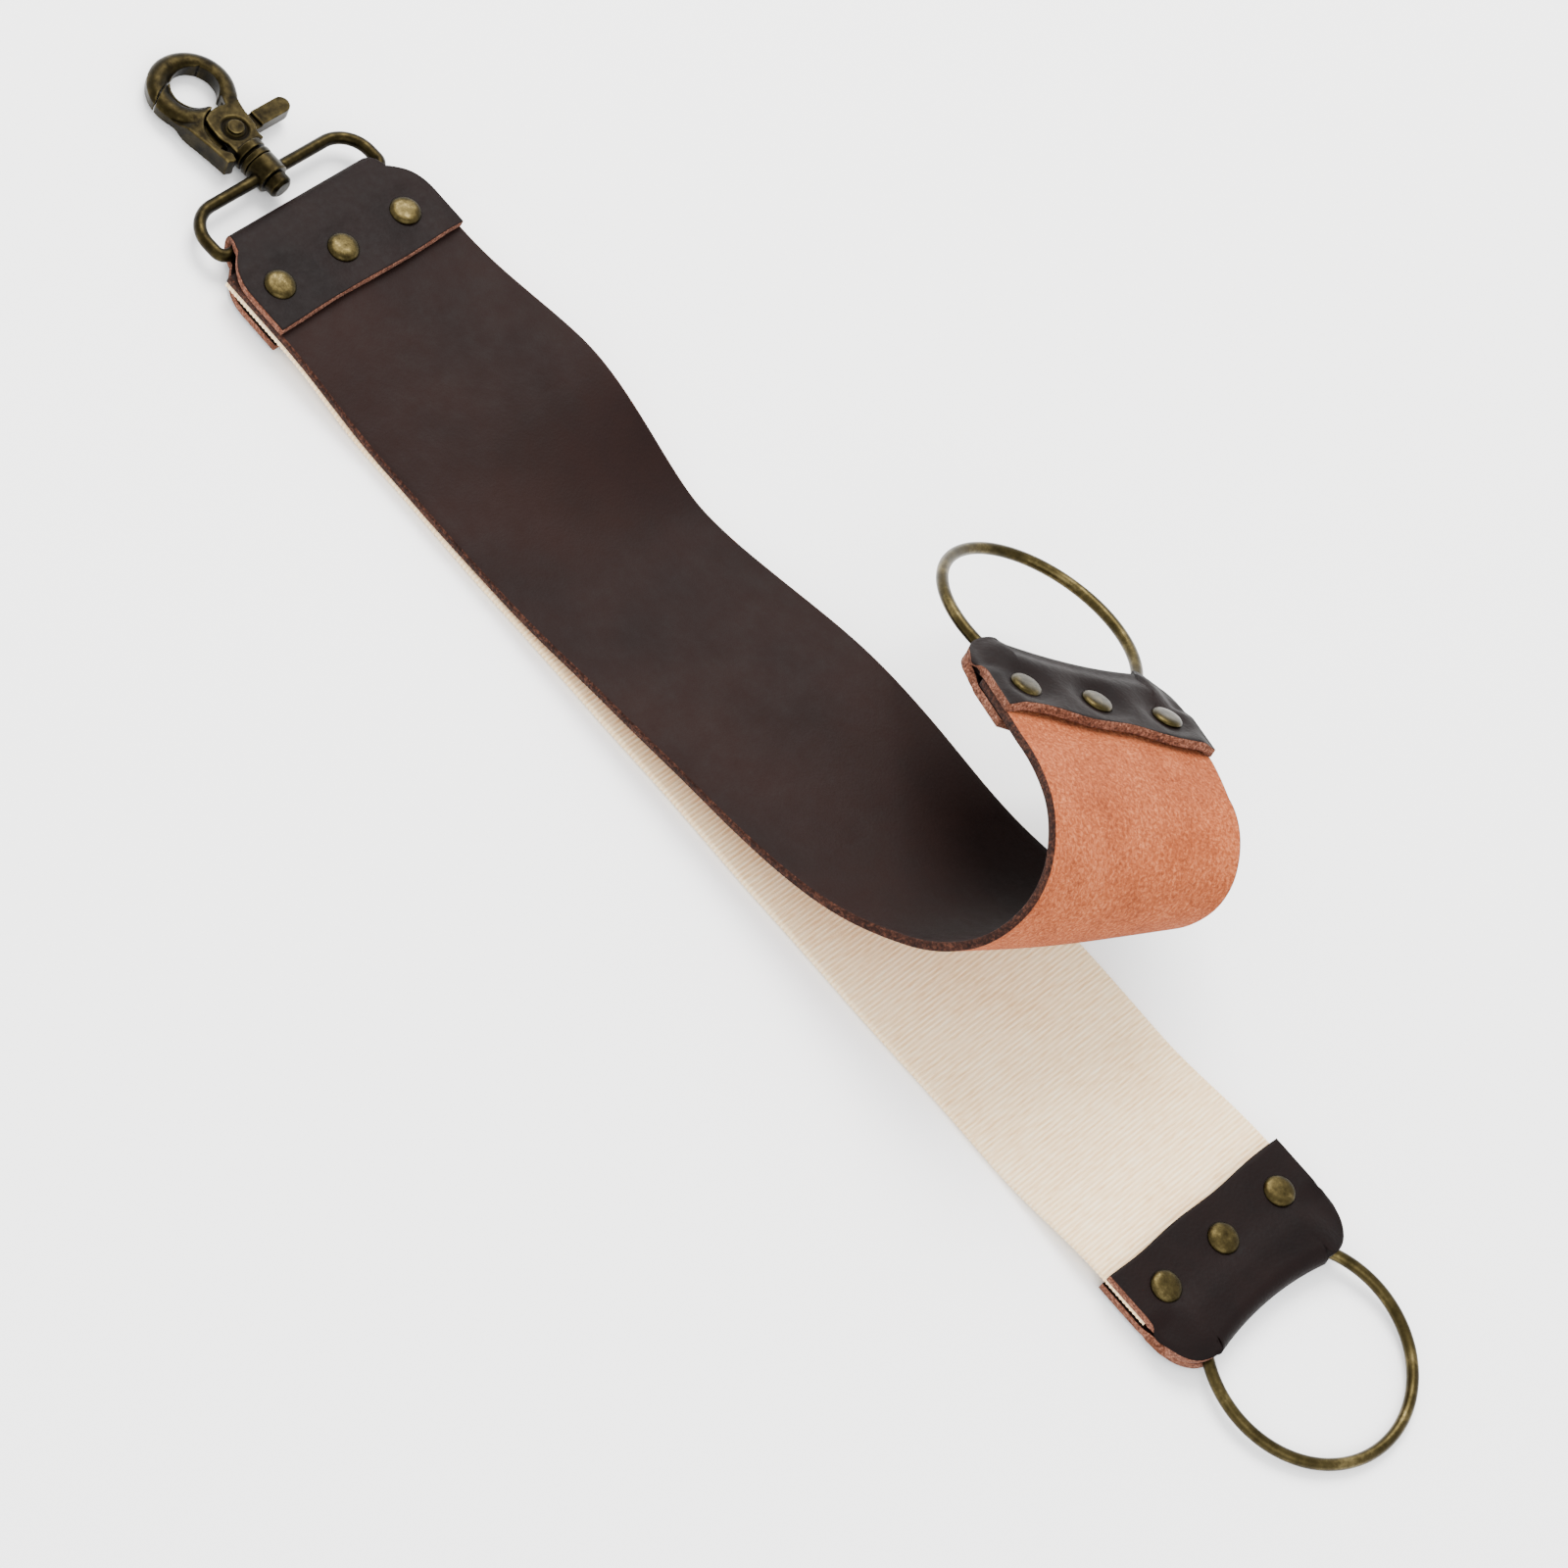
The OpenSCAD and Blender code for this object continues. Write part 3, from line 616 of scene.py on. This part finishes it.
def tail_tab(name, to_place, rise, front_side):
    """A tail tab in the frame of its strap's end, carried to its place."""
    columns = np.concatenate([
        strap_w / 2 * np.sin(np.radians(np.linspace(-90, -55, 12)))[:-1],
        np.linspace(-24.4, -fold_reach_y, 8)[:-1],
        np.linspace(-fold_reach_y, fold_reach_y, 46),
        np.linspace(fold_reach_y, 24.4, 8)[1:],
        strap_w / 2 * np.sin(np.radians(np.linspace(55, 90, 12)))[1:],
    ])
    bulge = ring_wire_r + ring_gap + tab_t / 2
    flat_mid = (leather_t + tab_t) / 2 + 0.02
    folded = np.abs(columns) <= fold_reach_y + 0.01
    reach = np.where(folded, tail_end(columns) - bulge - tab_t / 2, tail_end(columns) - 0.7)
    share = np.linspace(0, 1, 30)
    layer_x = share[:, None] * reach[None, :]
    layer_y = np.broadcast_to(columns, layer_x.shape)
    pinch = ease((np.abs(layer_y) - fold_reach_y) / 9) * ease((layer_x - 11.5) / 5.5)
    layer_z = flat_mid + (bulge - flat_mid) * ease((layer_x - 10) / 9) * (1 - pinch) - 0.9 * pinch
    beyond_fold = np.abs(layer_y) > fold_reach_y + 0.01
    layer_z = layer_z - np.where(beyond_fold, 0.35 * ease((layer_x - reach[None, :] + 5) / 5), 0)
    rivets = [(rivet_inset, i * rivet_pitch) for i in (-1, 0, 1)]
    held = np.min([np.hypot(layer_x - rx, layer_y - ry) for rx, ry in rivets], axis=0)
    layer_z = np.where(held < cap_r + 0.6, flat_mid, layer_z)
    puff = pillow(layer_x, layer_y, rivets, rise, 3.2) * ease((reach[None, :] - layer_x) / 7) * (1 - pinch)
    puff = puff * ease((strap_w / 2 - np.abs(layer_y)) / 5)
    ripple = 0.1 * rise * np.sin(layer_y / 3.3 + 0.5) * ease((7 - layer_x) / 7)
    top_z = layer_z + puff + ripple
    low_z = layer_z + 0.35 * puff
    turns = np.radians(np.linspace(0, 180, 13)[1:-1])
    fold_x = reach[None, :] + bulge * np.sin(turns)[:, None]
    fold_z = np.broadcast_to((bulge * np.cos(turns))[:, None], fold_x.shape)
    x = np.concatenate([layer_x, fold_x, layer_x[::-1]])
    y = np.broadcast_to(columns, x.shape)
    z = np.concatenate([top_z, fold_z, -low_z[::-1]])
    x = x + np.where(x < 0.5, 0.2 * np.sin(y / 4.4) * (1 + rise), 0)
    cells = np.ones((len(x) - 1, len(columns) - 1), bool)
    inside_fold = folded[:-1] & folded[1:]
    cells[len(share) - 1:len(share) + len(turns), ~inside_fold] = False
    local = np.stack([x, y, z * front_side, np.ones_like(x)], axis=-1)
    middle = (local @ np.array(to_place).T)[..., :3]
    piece = leather_sheet(name, middle, cells, tab_t, [tab_grain, cut_edge])
    to_millimetres = Matrix.Diagonal((1 / MM, 1 / MM, 1 / MM, 1))
    from_metres = to_place.inverted() @ Matrix.Translation(-Vector(straps_at)) @ to_millimetres
    for face in piece.data.polygons:
        at = from_metres @ face.center
        if at.x > grain_rim_x and abs(at.y) < grain_rim_y:
            face.material_index = 0
    return piece


canvas_tail = Matrix.Translation((canvas_len, 0, canvas_tail_z))
end_o = Vector(strap_point(leather_len, 0, 0))
end_x = Vector(strap_point(leather_len + 1, 0, 0)) - end_o
end_y = Vector(strap_point(leather_len, 1, 0)) - end_o
end_z = end_x.cross(end_y)
leather_tail = Matrix((end_x, end_y, end_z)).transposed().to_4x4()
leather_tail.translation = end_o

canvas_tab = tail_tab("canvas_tail_tab_leather", canvas_tail, 0.2, 1)
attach(canvas_tab, "head")
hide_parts("canvas_tail_tab")
leather_tab = tail_tab("leather_tail_tab_leather", leather_tail, 1.3, -1)
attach(leather_tab, "leather_leaf")
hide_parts("leather_tail_tab")

# ------------------------------------------------------------------------------------------------
# Rivet caps: nine domed caps of antiqued brass, three to a row, each pressed into its tab on a
# hollow stud. A cap is a stamped dome with a small rolled rim.
# ------------------------------------------------------------------------------------------------
def antique_group():
    """Dark patina left in the hollows of plated brass, rubbed through on its edges and high spots."""
    group = bpy.data.node_groups.new("antique_plating", "ShaderNodeTree")
    group.interface.new_socket("Vector", in_out="INPUT", socket_type="NodeSocketVector")
    float_socket(group, "Worn", 0.5)
    float_socket(group, "Mottle Scale", 260.0)
    group.interface.new_socket("Color", in_out="OUTPUT", socket_type="NodeSocketColor")
    float_socket(group, "Roughness")
    float_socket(group, "Height")
    given = group.nodes.new("NodeGroupInput")
    result = group.nodes.new("NodeGroupOutput")
    mottle = add(group, "ShaderNodeTexNoise", Detail=5.0, Roughness=0.65)
    scratch = add(group, "ShaderNodeTexNoise", Detail=8.0, Roughness=0.8, Distortion=1.2)
    for texture in (mottle, scratch):
        group.links.new(given.outputs["Vector"], texture.inputs["Vector"])
    group.links.new(given.outputs["Mottle Scale"], mottle.inputs["Scale"])
    scratch_scale = arithmetic(group, "MULTIPLY", given.outputs["Mottle Scale"], 5.0)
    group.links.new(scratch_scale, scratch.inputs["Scale"])
    patch = weighted(group, mottle.outputs["Fac"], 0.75, scratch.outputs["Fac"], 0.25)
    rubbed = arithmetic(group, "ADD", arithmetic(group, "SUBTRACT", patch, 0.5), given.outputs["Worn"])
    brass = ramp(group, rubbed, [
        (0.18, (0.0035, 0.0026, 0.0012)),
        (0.42, (0.0155, 0.0118, 0.0045)),
        (0.6, (0.040, 0.0305, 0.0115)),
        (0.95, (0.21, 0.163, 0.068)),
    ])
    group.links.new(brass, result.inputs["Color"])
    smoother = arithmetic(group, "MULTIPLY", rubbed, 0.25)
    group.links.new(arithmetic(group, "SUBTRACT", 0.50, smoother), result.inputs["Roughness"])
    group.links.new(patch, result.inputs["Height"])
    return group


antique_plating = antique_group()


def brass_material(name, worn, mottle_scale, edge_attribute=False):
    """Antiqued brass; worn is a share, and edge_attribute adds the wear stored on the mesh."""
    material, tree, shader = new_material(name)
    plating = add(tree, "ShaderNodeGroup", node_tree=antique_plating)
    plating.inputs["Mottle Scale"].default_value = mottle_scale
    plating.inputs["Worn"].default_value = worn
    if edge_attribute:
        stored = add(tree, "ShaderNodeAttribute", attribute_name="edge_wear")
        tree.links.new(arithmetic(tree, "ADD", stored.outputs["Fac"], worn), plating.inputs["Worn"])
    tree.links.new(add(tree, "ShaderNodeTexCoord").outputs["Object"], plating.inputs["Vector"])
    tree.links.new(plating.outputs["Color"], shader.inputs["Base Color"])
    tree.links.new(plating.outputs["Roughness"], shader.inputs["Roughness"])
    bumped(tree, shader, plating.outputs["Height"], 0.00012, 0.5)
    shader.inputs["Metallic"].default_value = 1.0
    return material


cap_brass = brass_material("cap_brass", 0.54, 420.0)
# Outline of a cap, as radius and height: a nearly flat top, a round shoulder and a turned-in rim
cap_profile = [
    (0.0, 1.22), (1.1, 1.21), (2.2, 1.17), (2.95, 1.05), (3.45, 0.84),
    (3.75, 0.60), (3.94, 0.34), (cap_r, 0.15), (3.96, 0.0), (0.0, 0.0),
]
cap_turns = 40


def turned(name, profile, turns):
    """A round solid, in metres, from its (radius, height) outline with both ends on its axis."""
    points = [(0, 0, profile[0][1] * MM)]
    angles = [2 * math.pi * k / turns for k in range(turns)]
    for r, z in profile[1:-1]:
        points += [(r * MM * math.cos(angle), r * MM * math.sin(angle), z * MM) for angle in angles]
    points.append((0, 0, profile[-1][1] * MM))
    rings = len(profile) - 2
    faces = [(0, 1 + k, 1 + (k + 1) % turns) for k in range(turns)]
    for i in range(rings - 1):
        for k in range(turns):
            a = 1 + i * turns + k
            b = 1 + i * turns + (k + 1) % turns
            faces.append((a, a + turns, b + turns, b))
    last = 1 + (rings - 1) * turns
    faces += [(last + k, len(points) - 1, last + (k + 1) % turns) for k in range(turns)]
    mesh = bpy.data.meshes.new(name)
    mesh.from_pydata(points, [], faces)
    mesh.polygons.foreach_set("use_smooth", [True] * len(faces))
    return bpy.data.objects.new(name, mesh)


def rivet_row_tree():
    """Geometry Nodes tree that sets a cap at each rivet of a row."""
    tree = bpy.data.node_groups.new("rivet_row", "GeometryNodeTree")
    tree.interface.new_socket("Geometry", in_out="OUTPUT", socket_type="NodeSocketGeometry")
    tree.interface.new_socket("Cap", in_out="INPUT", socket_type="NodeSocketObject")
    tree.interface.new_socket("Count", in_out="INPUT", socket_type="NodeSocketInt").default_value = 3
    float_socket(tree, "Pitch", 0.0205)
    tree.interface.new_socket("Brass", in_out="INPUT", socket_type="NodeSocketMaterial")
    given = tree.nodes.new("NodeGroupInput")
    result = tree.nodes.new("NodeGroupOutput")
    offset = tree.nodes.new("ShaderNodeCombineXYZ")
    tree.links.new(given.outputs["Pitch"], offset.inputs["Y"])
    half = arithmetic(tree, "MULTIPLY", arithmetic(tree, "SUBTRACT", given.outputs["Count"], 1), -0.5)
    first = tree.nodes.new("ShaderNodeCombineXYZ")
    tree.links.new(arithmetic(tree, "MULTIPLY", half, given.outputs["Pitch"]), first.inputs["Y"])
    line = tree.nodes.new("GeometryNodeMeshLine")
    tree.links.new(given.outputs["Count"], line.inputs["Count"])
    tree.links.new(first.outputs["Vector"], line.inputs["Start Location"])
    tree.links.new(offset.outputs["Vector"], line.inputs["Offset"])
    cap = tree.nodes.new("GeometryNodeObjectInfo")
    tree.links.new(given.outputs["Cap"], cap.inputs["Object"])
    spin = add(tree, "FunctionNodeRandomValue", data_type="FLOAT_VECTOR")
    spin.inputs["Min"].default_value = (0, 0, 0)
    spin.inputs["Max"].default_value = (0.05, 0.05, 6.28)
    spin.inputs["Seed"].default_value = 4
    placed = tree.nodes.new("GeometryNodeInstanceOnPoints")
    tree.links.new(line.outputs["Mesh"], placed.inputs["Points"])
    tree.links.new(cap.outputs["Geometry"], placed.inputs["Instance"])
    tree.links.new(spin.outputs["Value"], placed.inputs["Rotation"])
    real = tree.nodes.new("GeometryNodeRealizeInstances")
    tree.links.new(placed.outputs["Instances"], real.inputs["Geometry"])
    painted = tree.nodes.new("GeometryNodeSetMaterial")
    tree.links.new(real.outputs["Geometry"], painted.inputs["Geometry"])
    tree.links.new(given.outputs["Brass"], painted.inputs["Material"])
    tree.links.new(painted.outputs["Geometry"], result.inputs["Geometry"])
    return tree


def grown(name, tree, values, to_place):
    """Runs a Geometry Nodes tree with its inputs, keeps the plain mesh, and carries it to its place."""
    piece = bpy.data.objects.new(name, bpy.data.meshes.new(name))
    bpy.context.collection.objects.link(piece)
    modifier = piece.modifiers.new("grow", "NODES")
    modifier.node_group = tree
    for item in tree.interface.items_tree:
        if item.item_type == "SOCKET" and item.in_out == "INPUT" and item.name in values:
            modifier[item.identifier] = values[item.name]
    piece.update_tag()
    bpy.context.view_layer.update()
    mesh = bpy.data.meshes.new_from_object(piece.evaluated_get(bpy.context.evaluated_depsgraph_get()))
    piece.modifiers.clear()
    piece.data = mesh
    to_metres = Matrix.Translation(Vector(straps_at) * MM) @ Matrix.Diagonal((MM, MM, MM, 1))
    to_millimetres = Matrix.Diagonal((1 / MM, 1 / MM, 1 / MM, 1))
    mesh.transform(to_metres @ to_place @ to_millimetres)
    mesh.update()
    mesh.polygons.foreach_set("use_smooth", [True] * len(mesh.polygons))
    return piece


cap_shape = turned("cap_shape", cap_profile, cap_turns)
rivet_row = rivet_row_tree()
head_top_z = 10.0
tail_top_z = (leather_t + 2 * tab_t) / 2
upside_down = Matrix.Rotation(math.pi, 4, "X")
cap_inset = Matrix.Translation((rivet_inset, 0, tail_top_z))
cap_rows = {
    "head_rivet_caps": ("head", Matrix.Translation((-rivet_inset, head_rivet_shift, head_top_z))),
    "canvas_tail_rivet_caps": ("head", canvas_tail @ cap_inset),
    "leather_tail_rivet_caps": ("leather_leaf", leather_tail @ upside_down @ cap_inset),
}
for node_name, (body, to_place) in cap_rows.items():
    values = {"Cap": cap_shape, "Count": 3, "Pitch": rivet_pitch * MM, "Brass": cap_brass}
    row = grown(node_name + "_domed", rivet_row, values, to_place)
    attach(row, body)
    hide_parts(node_name)
bpy.data.objects.remove(cap_shape)

stud_brass = brass_material("stud_brass", 0.5, 380.0)
for node_name in ("head_rivet_studs", "canvas_tail_rivet_studs", "leather_tail_rivet_studs"):
    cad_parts[node_name].data.materials.clear()
    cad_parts[node_name].data.materials.append(stud_brass)

# ------------------------------------------------------------------------------------------------
# Grip rings: two closed rings bent from round brass-plated wire. Each turns freely in the fold of
# its tail tab, which holds it at a slight tilt.
# ------------------------------------------------------------------------------------------------
ring_mid_r = 26.5
ring_centre = 41.9
ring_hinge_x = 22.0
leather_ring_tilt = math.radians(7.0)
# The canvas strap's ring leans down until its far side is just clear of the table
ring_reach = ring_centre + ring_mid_r - ring_hinge_x
canvas_ring_tilt = math.asin((canvas_tail_z - ring_wire_r - 0.05) / ring_reach)


def wire_ring_tree():
    """Geometry Nodes tree that draws round wire along a circle."""
    tree = bpy.data.node_groups.new("wire_ring", "GeometryNodeTree")
    tree.interface.new_socket("Geometry", in_out="OUTPUT", socket_type="NodeSocketGeometry")
    float_socket(tree, "Ring Radius", 0.0265)
    float_socket(tree, "Wire Radius", 0.0015)
    tree.interface.new_socket("Brass", in_out="INPUT", socket_type="NodeSocketMaterial")
    given = tree.nodes.new("NodeGroupInput")
    result = tree.nodes.new("NodeGroupOutput")
    circle = add(tree, "GeometryNodeCurvePrimitiveCircle", Resolution=180)
    wire = add(tree, "GeometryNodeCurvePrimitiveCircle", Resolution=20)
    tree.links.new(given.outputs["Ring Radius"], circle.inputs["Radius"])
    tree.links.new(given.outputs["Wire Radius"], wire.inputs["Radius"])
    drawn = tree.nodes.new("GeometryNodeCurveToMesh")
    tree.links.new(circle.outputs["Curve"], drawn.inputs["Curve"])
    tree.links.new(wire.outputs["Curve"], drawn.inputs["Profile Curve"])
    real = tree.nodes.new("GeometryNodeRealizeInstances")
    tree.links.new(drawn.outputs["Mesh"], real.inputs["Geometry"])
    painted = tree.nodes.new("GeometryNodeSetMaterial")
    tree.links.new(real.outputs["Geometry"], painted.inputs["Geometry"])
    tree.links.new(given.outputs["Brass"], painted.inputs["Material"])
    tree.links.new(painted.outputs["Geometry"], result.inputs["Geometry"])
    return tree


wire_ring = wire_ring_tree()
ring_brass = brass_material("ring_brass", 0.57, 170.0)
rings = {
    "canvas_tail_ring": ("canvas_ring", canvas_tail, canvas_ring_tilt),
    "leather_tail_ring": ("leather_ring", leather_tail, leather_ring_tilt),
}
for node_name, (body, tail, tilt) in rings.items():
    hinge = Matrix.Translation((ring_hinge_x, 0, 0)) @ Matrix.Rotation(tilt, 4, "Y")
    to_place = tail @ hinge @ Matrix.Translation((ring_centre - ring_hinge_x, 0, 0))
    values = {"Ring Radius": ring_mid_r * MM, "Wire Radius": ring_wire_r * MM, "Brass": ring_brass}
    ring = grown(node_name + "_wire", wire_ring, values, to_place)
    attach(ring, body)
    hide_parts(node_name)

# ------------------------------------------------------------------------------------------------
# Swivel loop and snap: small brass castings, tumbled so that their edges are round, then blackened
# and rubbed. The loop hangs in the head tab's fold. The snap turns on a riveted post, and its gate
# turns on a pin between two cheeks.
# ------------------------------------------------------------------------------------------------
snap_half = 2.6
pin_low, pin_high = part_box("snap_pivot_pin")
pivot_at = np.array((pin_low + pin_high) / 2)
snap_reach = 52.0
rest_tilt = math.asin((bar_z - snap_half - 0.1) / snap_reach)
tip_way = np.array((-math.cos(rest_tilt), 0, -math.sin(rest_tilt)))
face_way = np.array((-math.sin(rest_tilt), 0, math.cos(rest_tilt)))
eye_ahead = 14.9
eye_mid_r = 8.45
eye_half_w = 2.6
eye_aside = 0.5
neck_ahead = 5.5
neck_len = 4
pin_groove_r = 2.9
pin_groove_w = 0.55
pin_groove_depth = 0.45
face_above = 2.2


def cast(name, node_name, voxel, rounds, shape=None):
    """A tumbled copy of a machined shape: remeshed fine, its edges rounded, and its wear stored."""
    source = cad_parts[node_name]
    mesh = source.data.copy()
    mesh.name = name
    work = bmesh.new()
    work.from_mesh(mesh)
    bmesh.ops.remove_doubles(work, verts=work.verts, dist=0.000002)
    work.to_mesh(mesh)
    work.free()
    piece = bpy.data.objects.new(name, mesh)
    bpy.context.collection.objects.link(piece)
    remesh = piece.modifiers.new("remesh", "REMESH")
    remesh.mode = "VOXEL"
    remesh.voxel_size = voxel * MM
    tumble = piece.modifiers.new("tumble", "SMOOTH")
    tumble.factor = 0.5
    tumble.iterations = rounds
    mesh = bpy.data.meshes.new_from_object(piece.evaluated_get(bpy.context.evaluated_depsgraph_get()))
    piece.modifiers.clear()
    piece.data = mesh
    points = np.zeros(len(mesh.vertices) * 3)
    mesh.vertices.foreach_get("co", points)
    points = points.reshape(-1, 3)
    if shape:
        points = shape(points)
        mesh.vertices.foreach_set("co", points.reshape(-1))
        mesh.update()
    store_wear(mesh, points, voxel)
    mesh.polygons.foreach_set("use_smooth", [True] * len(mesh.polygons))
    mesh.materials.clear()
    return piece


def store_wear(mesh, points, voxel):
    """Stores how far each point stands out from the points near it: above 0 on edges, below in hollows."""
    ends = np.zeros(len(mesh.edges) * 2, int)
    mesh.edges.foreach_get("vertices", ends)
    a, b = ends.reshape(-1, 2).T
    count = np.bincount(np.concatenate([a, b]), minlength=len(points))[:, None]
    normals = np.zeros(len(points) * 3)
    mesh.vertices.foreach_get("normal", normals)
    normals = normals.reshape(-1, 3)
    spread = points.copy()
    for _ in range(5):
        total = np.zeros_like(points)
        np.add.at(total, a, spread[b])
        np.add.at(total, b, spread[a])
        spread = 0.3 * spread + 0.7 * total / count
    stand_out = np.einsum("ij,ij->i", points - spread, normals) / (voxel * MM)
    wear = np.clip(stand_out * 0.9, -0.35, 0.42)
    mesh.attributes.new("edge_wear", "FLOAT", "POINT").data.foreach_set("value", wear.astype(np.float32))


def snap_frame(points):
    """Distance ahead of the pivot, to the side of it and out of the snap's middle plane, in millimetres."""
    from_pivot = (points - pivot_at) / MM
    return from_pivot @ tip_way, from_pivot[:, 1], from_pivot @ face_way


def shape_snap(points):
    """Rounds the eye's section, and sinks a ring round the pivot pin's heads."""
    ahead, beside, out = snap_frame(points)
    from_eye = np.hypot(ahead - eye_ahead, beside + eye_aside)
    across_eye = np.clip((from_eye - eye_mid_r) / eye_half_w, -1, 1)
    in_eye = ease((ahead - neck_ahead) / neck_len)
    slim = 1 - in_eye * (1 - np.sqrt(1 - 0.8 * across_eye ** 2))
    from_pin = np.hypot(ahead, beside)
    sunk = np.exp(-(((from_pin - pin_groove_r) / pin_groove_w) ** 2)) * pin_groove_depth
    on_face = np.abs(out) > face_above
    moved = out * slim - np.sign(out) * np.where(on_face, sunk, 0)
    return points + np.outer((moved - out) * MM, face_way)


cast_brass = brass_material("cast_brass", 0.28, 330.0, edge_attribute=True)
# Name, node, body, remesh step, rounds of tumbling and any further shaping
castings = [
    ("swivel_loop_cast", "swivel_loop", "loop", 0.26, 5, None),
    ("swivel_post_cast", "swivel_rivet", "snap", 0.18, 4, None),
    ("snap_hook_cast", "snap_body", "snap", 0.2, 7, shape_snap),
    ("snap_gate_cast", "snap_gate", "gate", 0.2, 6, shape_snap),
    ("snap_pin_cast", "snap_pivot_pin", "snap", 0.14, 4, None),
]
for name, node_name, body, voxel, rounds, shape in castings:
    casting = cast(name, node_name, voxel, rounds, shape)
    casting.data.materials.append(cast_brass)
    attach(casting, body)
    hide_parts(node_name)

# ------------------------------------------------------------------------------------------------
# Gate spring: a turn of bright spring wire hidden between the cheeks, round the pivot pin.
# ------------------------------------------------------------------------------------------------
spring_steel, tree, shader = new_material("spring_steel")
drawn_marks = add(tree, "ShaderNodeTexNoise", Scale=2400.0, Detail=4.0)
tree.links.new(add(tree, "ShaderNodeTexCoord").outputs["Object"], drawn_marks.inputs["Vector"])
steel_tone = ramp(tree, drawn_marks.outputs["Fac"], [(0.3, (0.30, 0.30, 0.31)), (0.7, (0.52, 0.52, 0.53))])
tree.links.new(steel_tone, shader.inputs["Base Color"])
shader.inputs["Metallic"].default_value = 1.0
shader.inputs["Roughness"].default_value = 0.34
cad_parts["snap_spring"].data.materials.clear()
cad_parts["snap_spring"].data.materials.append(spring_steel)
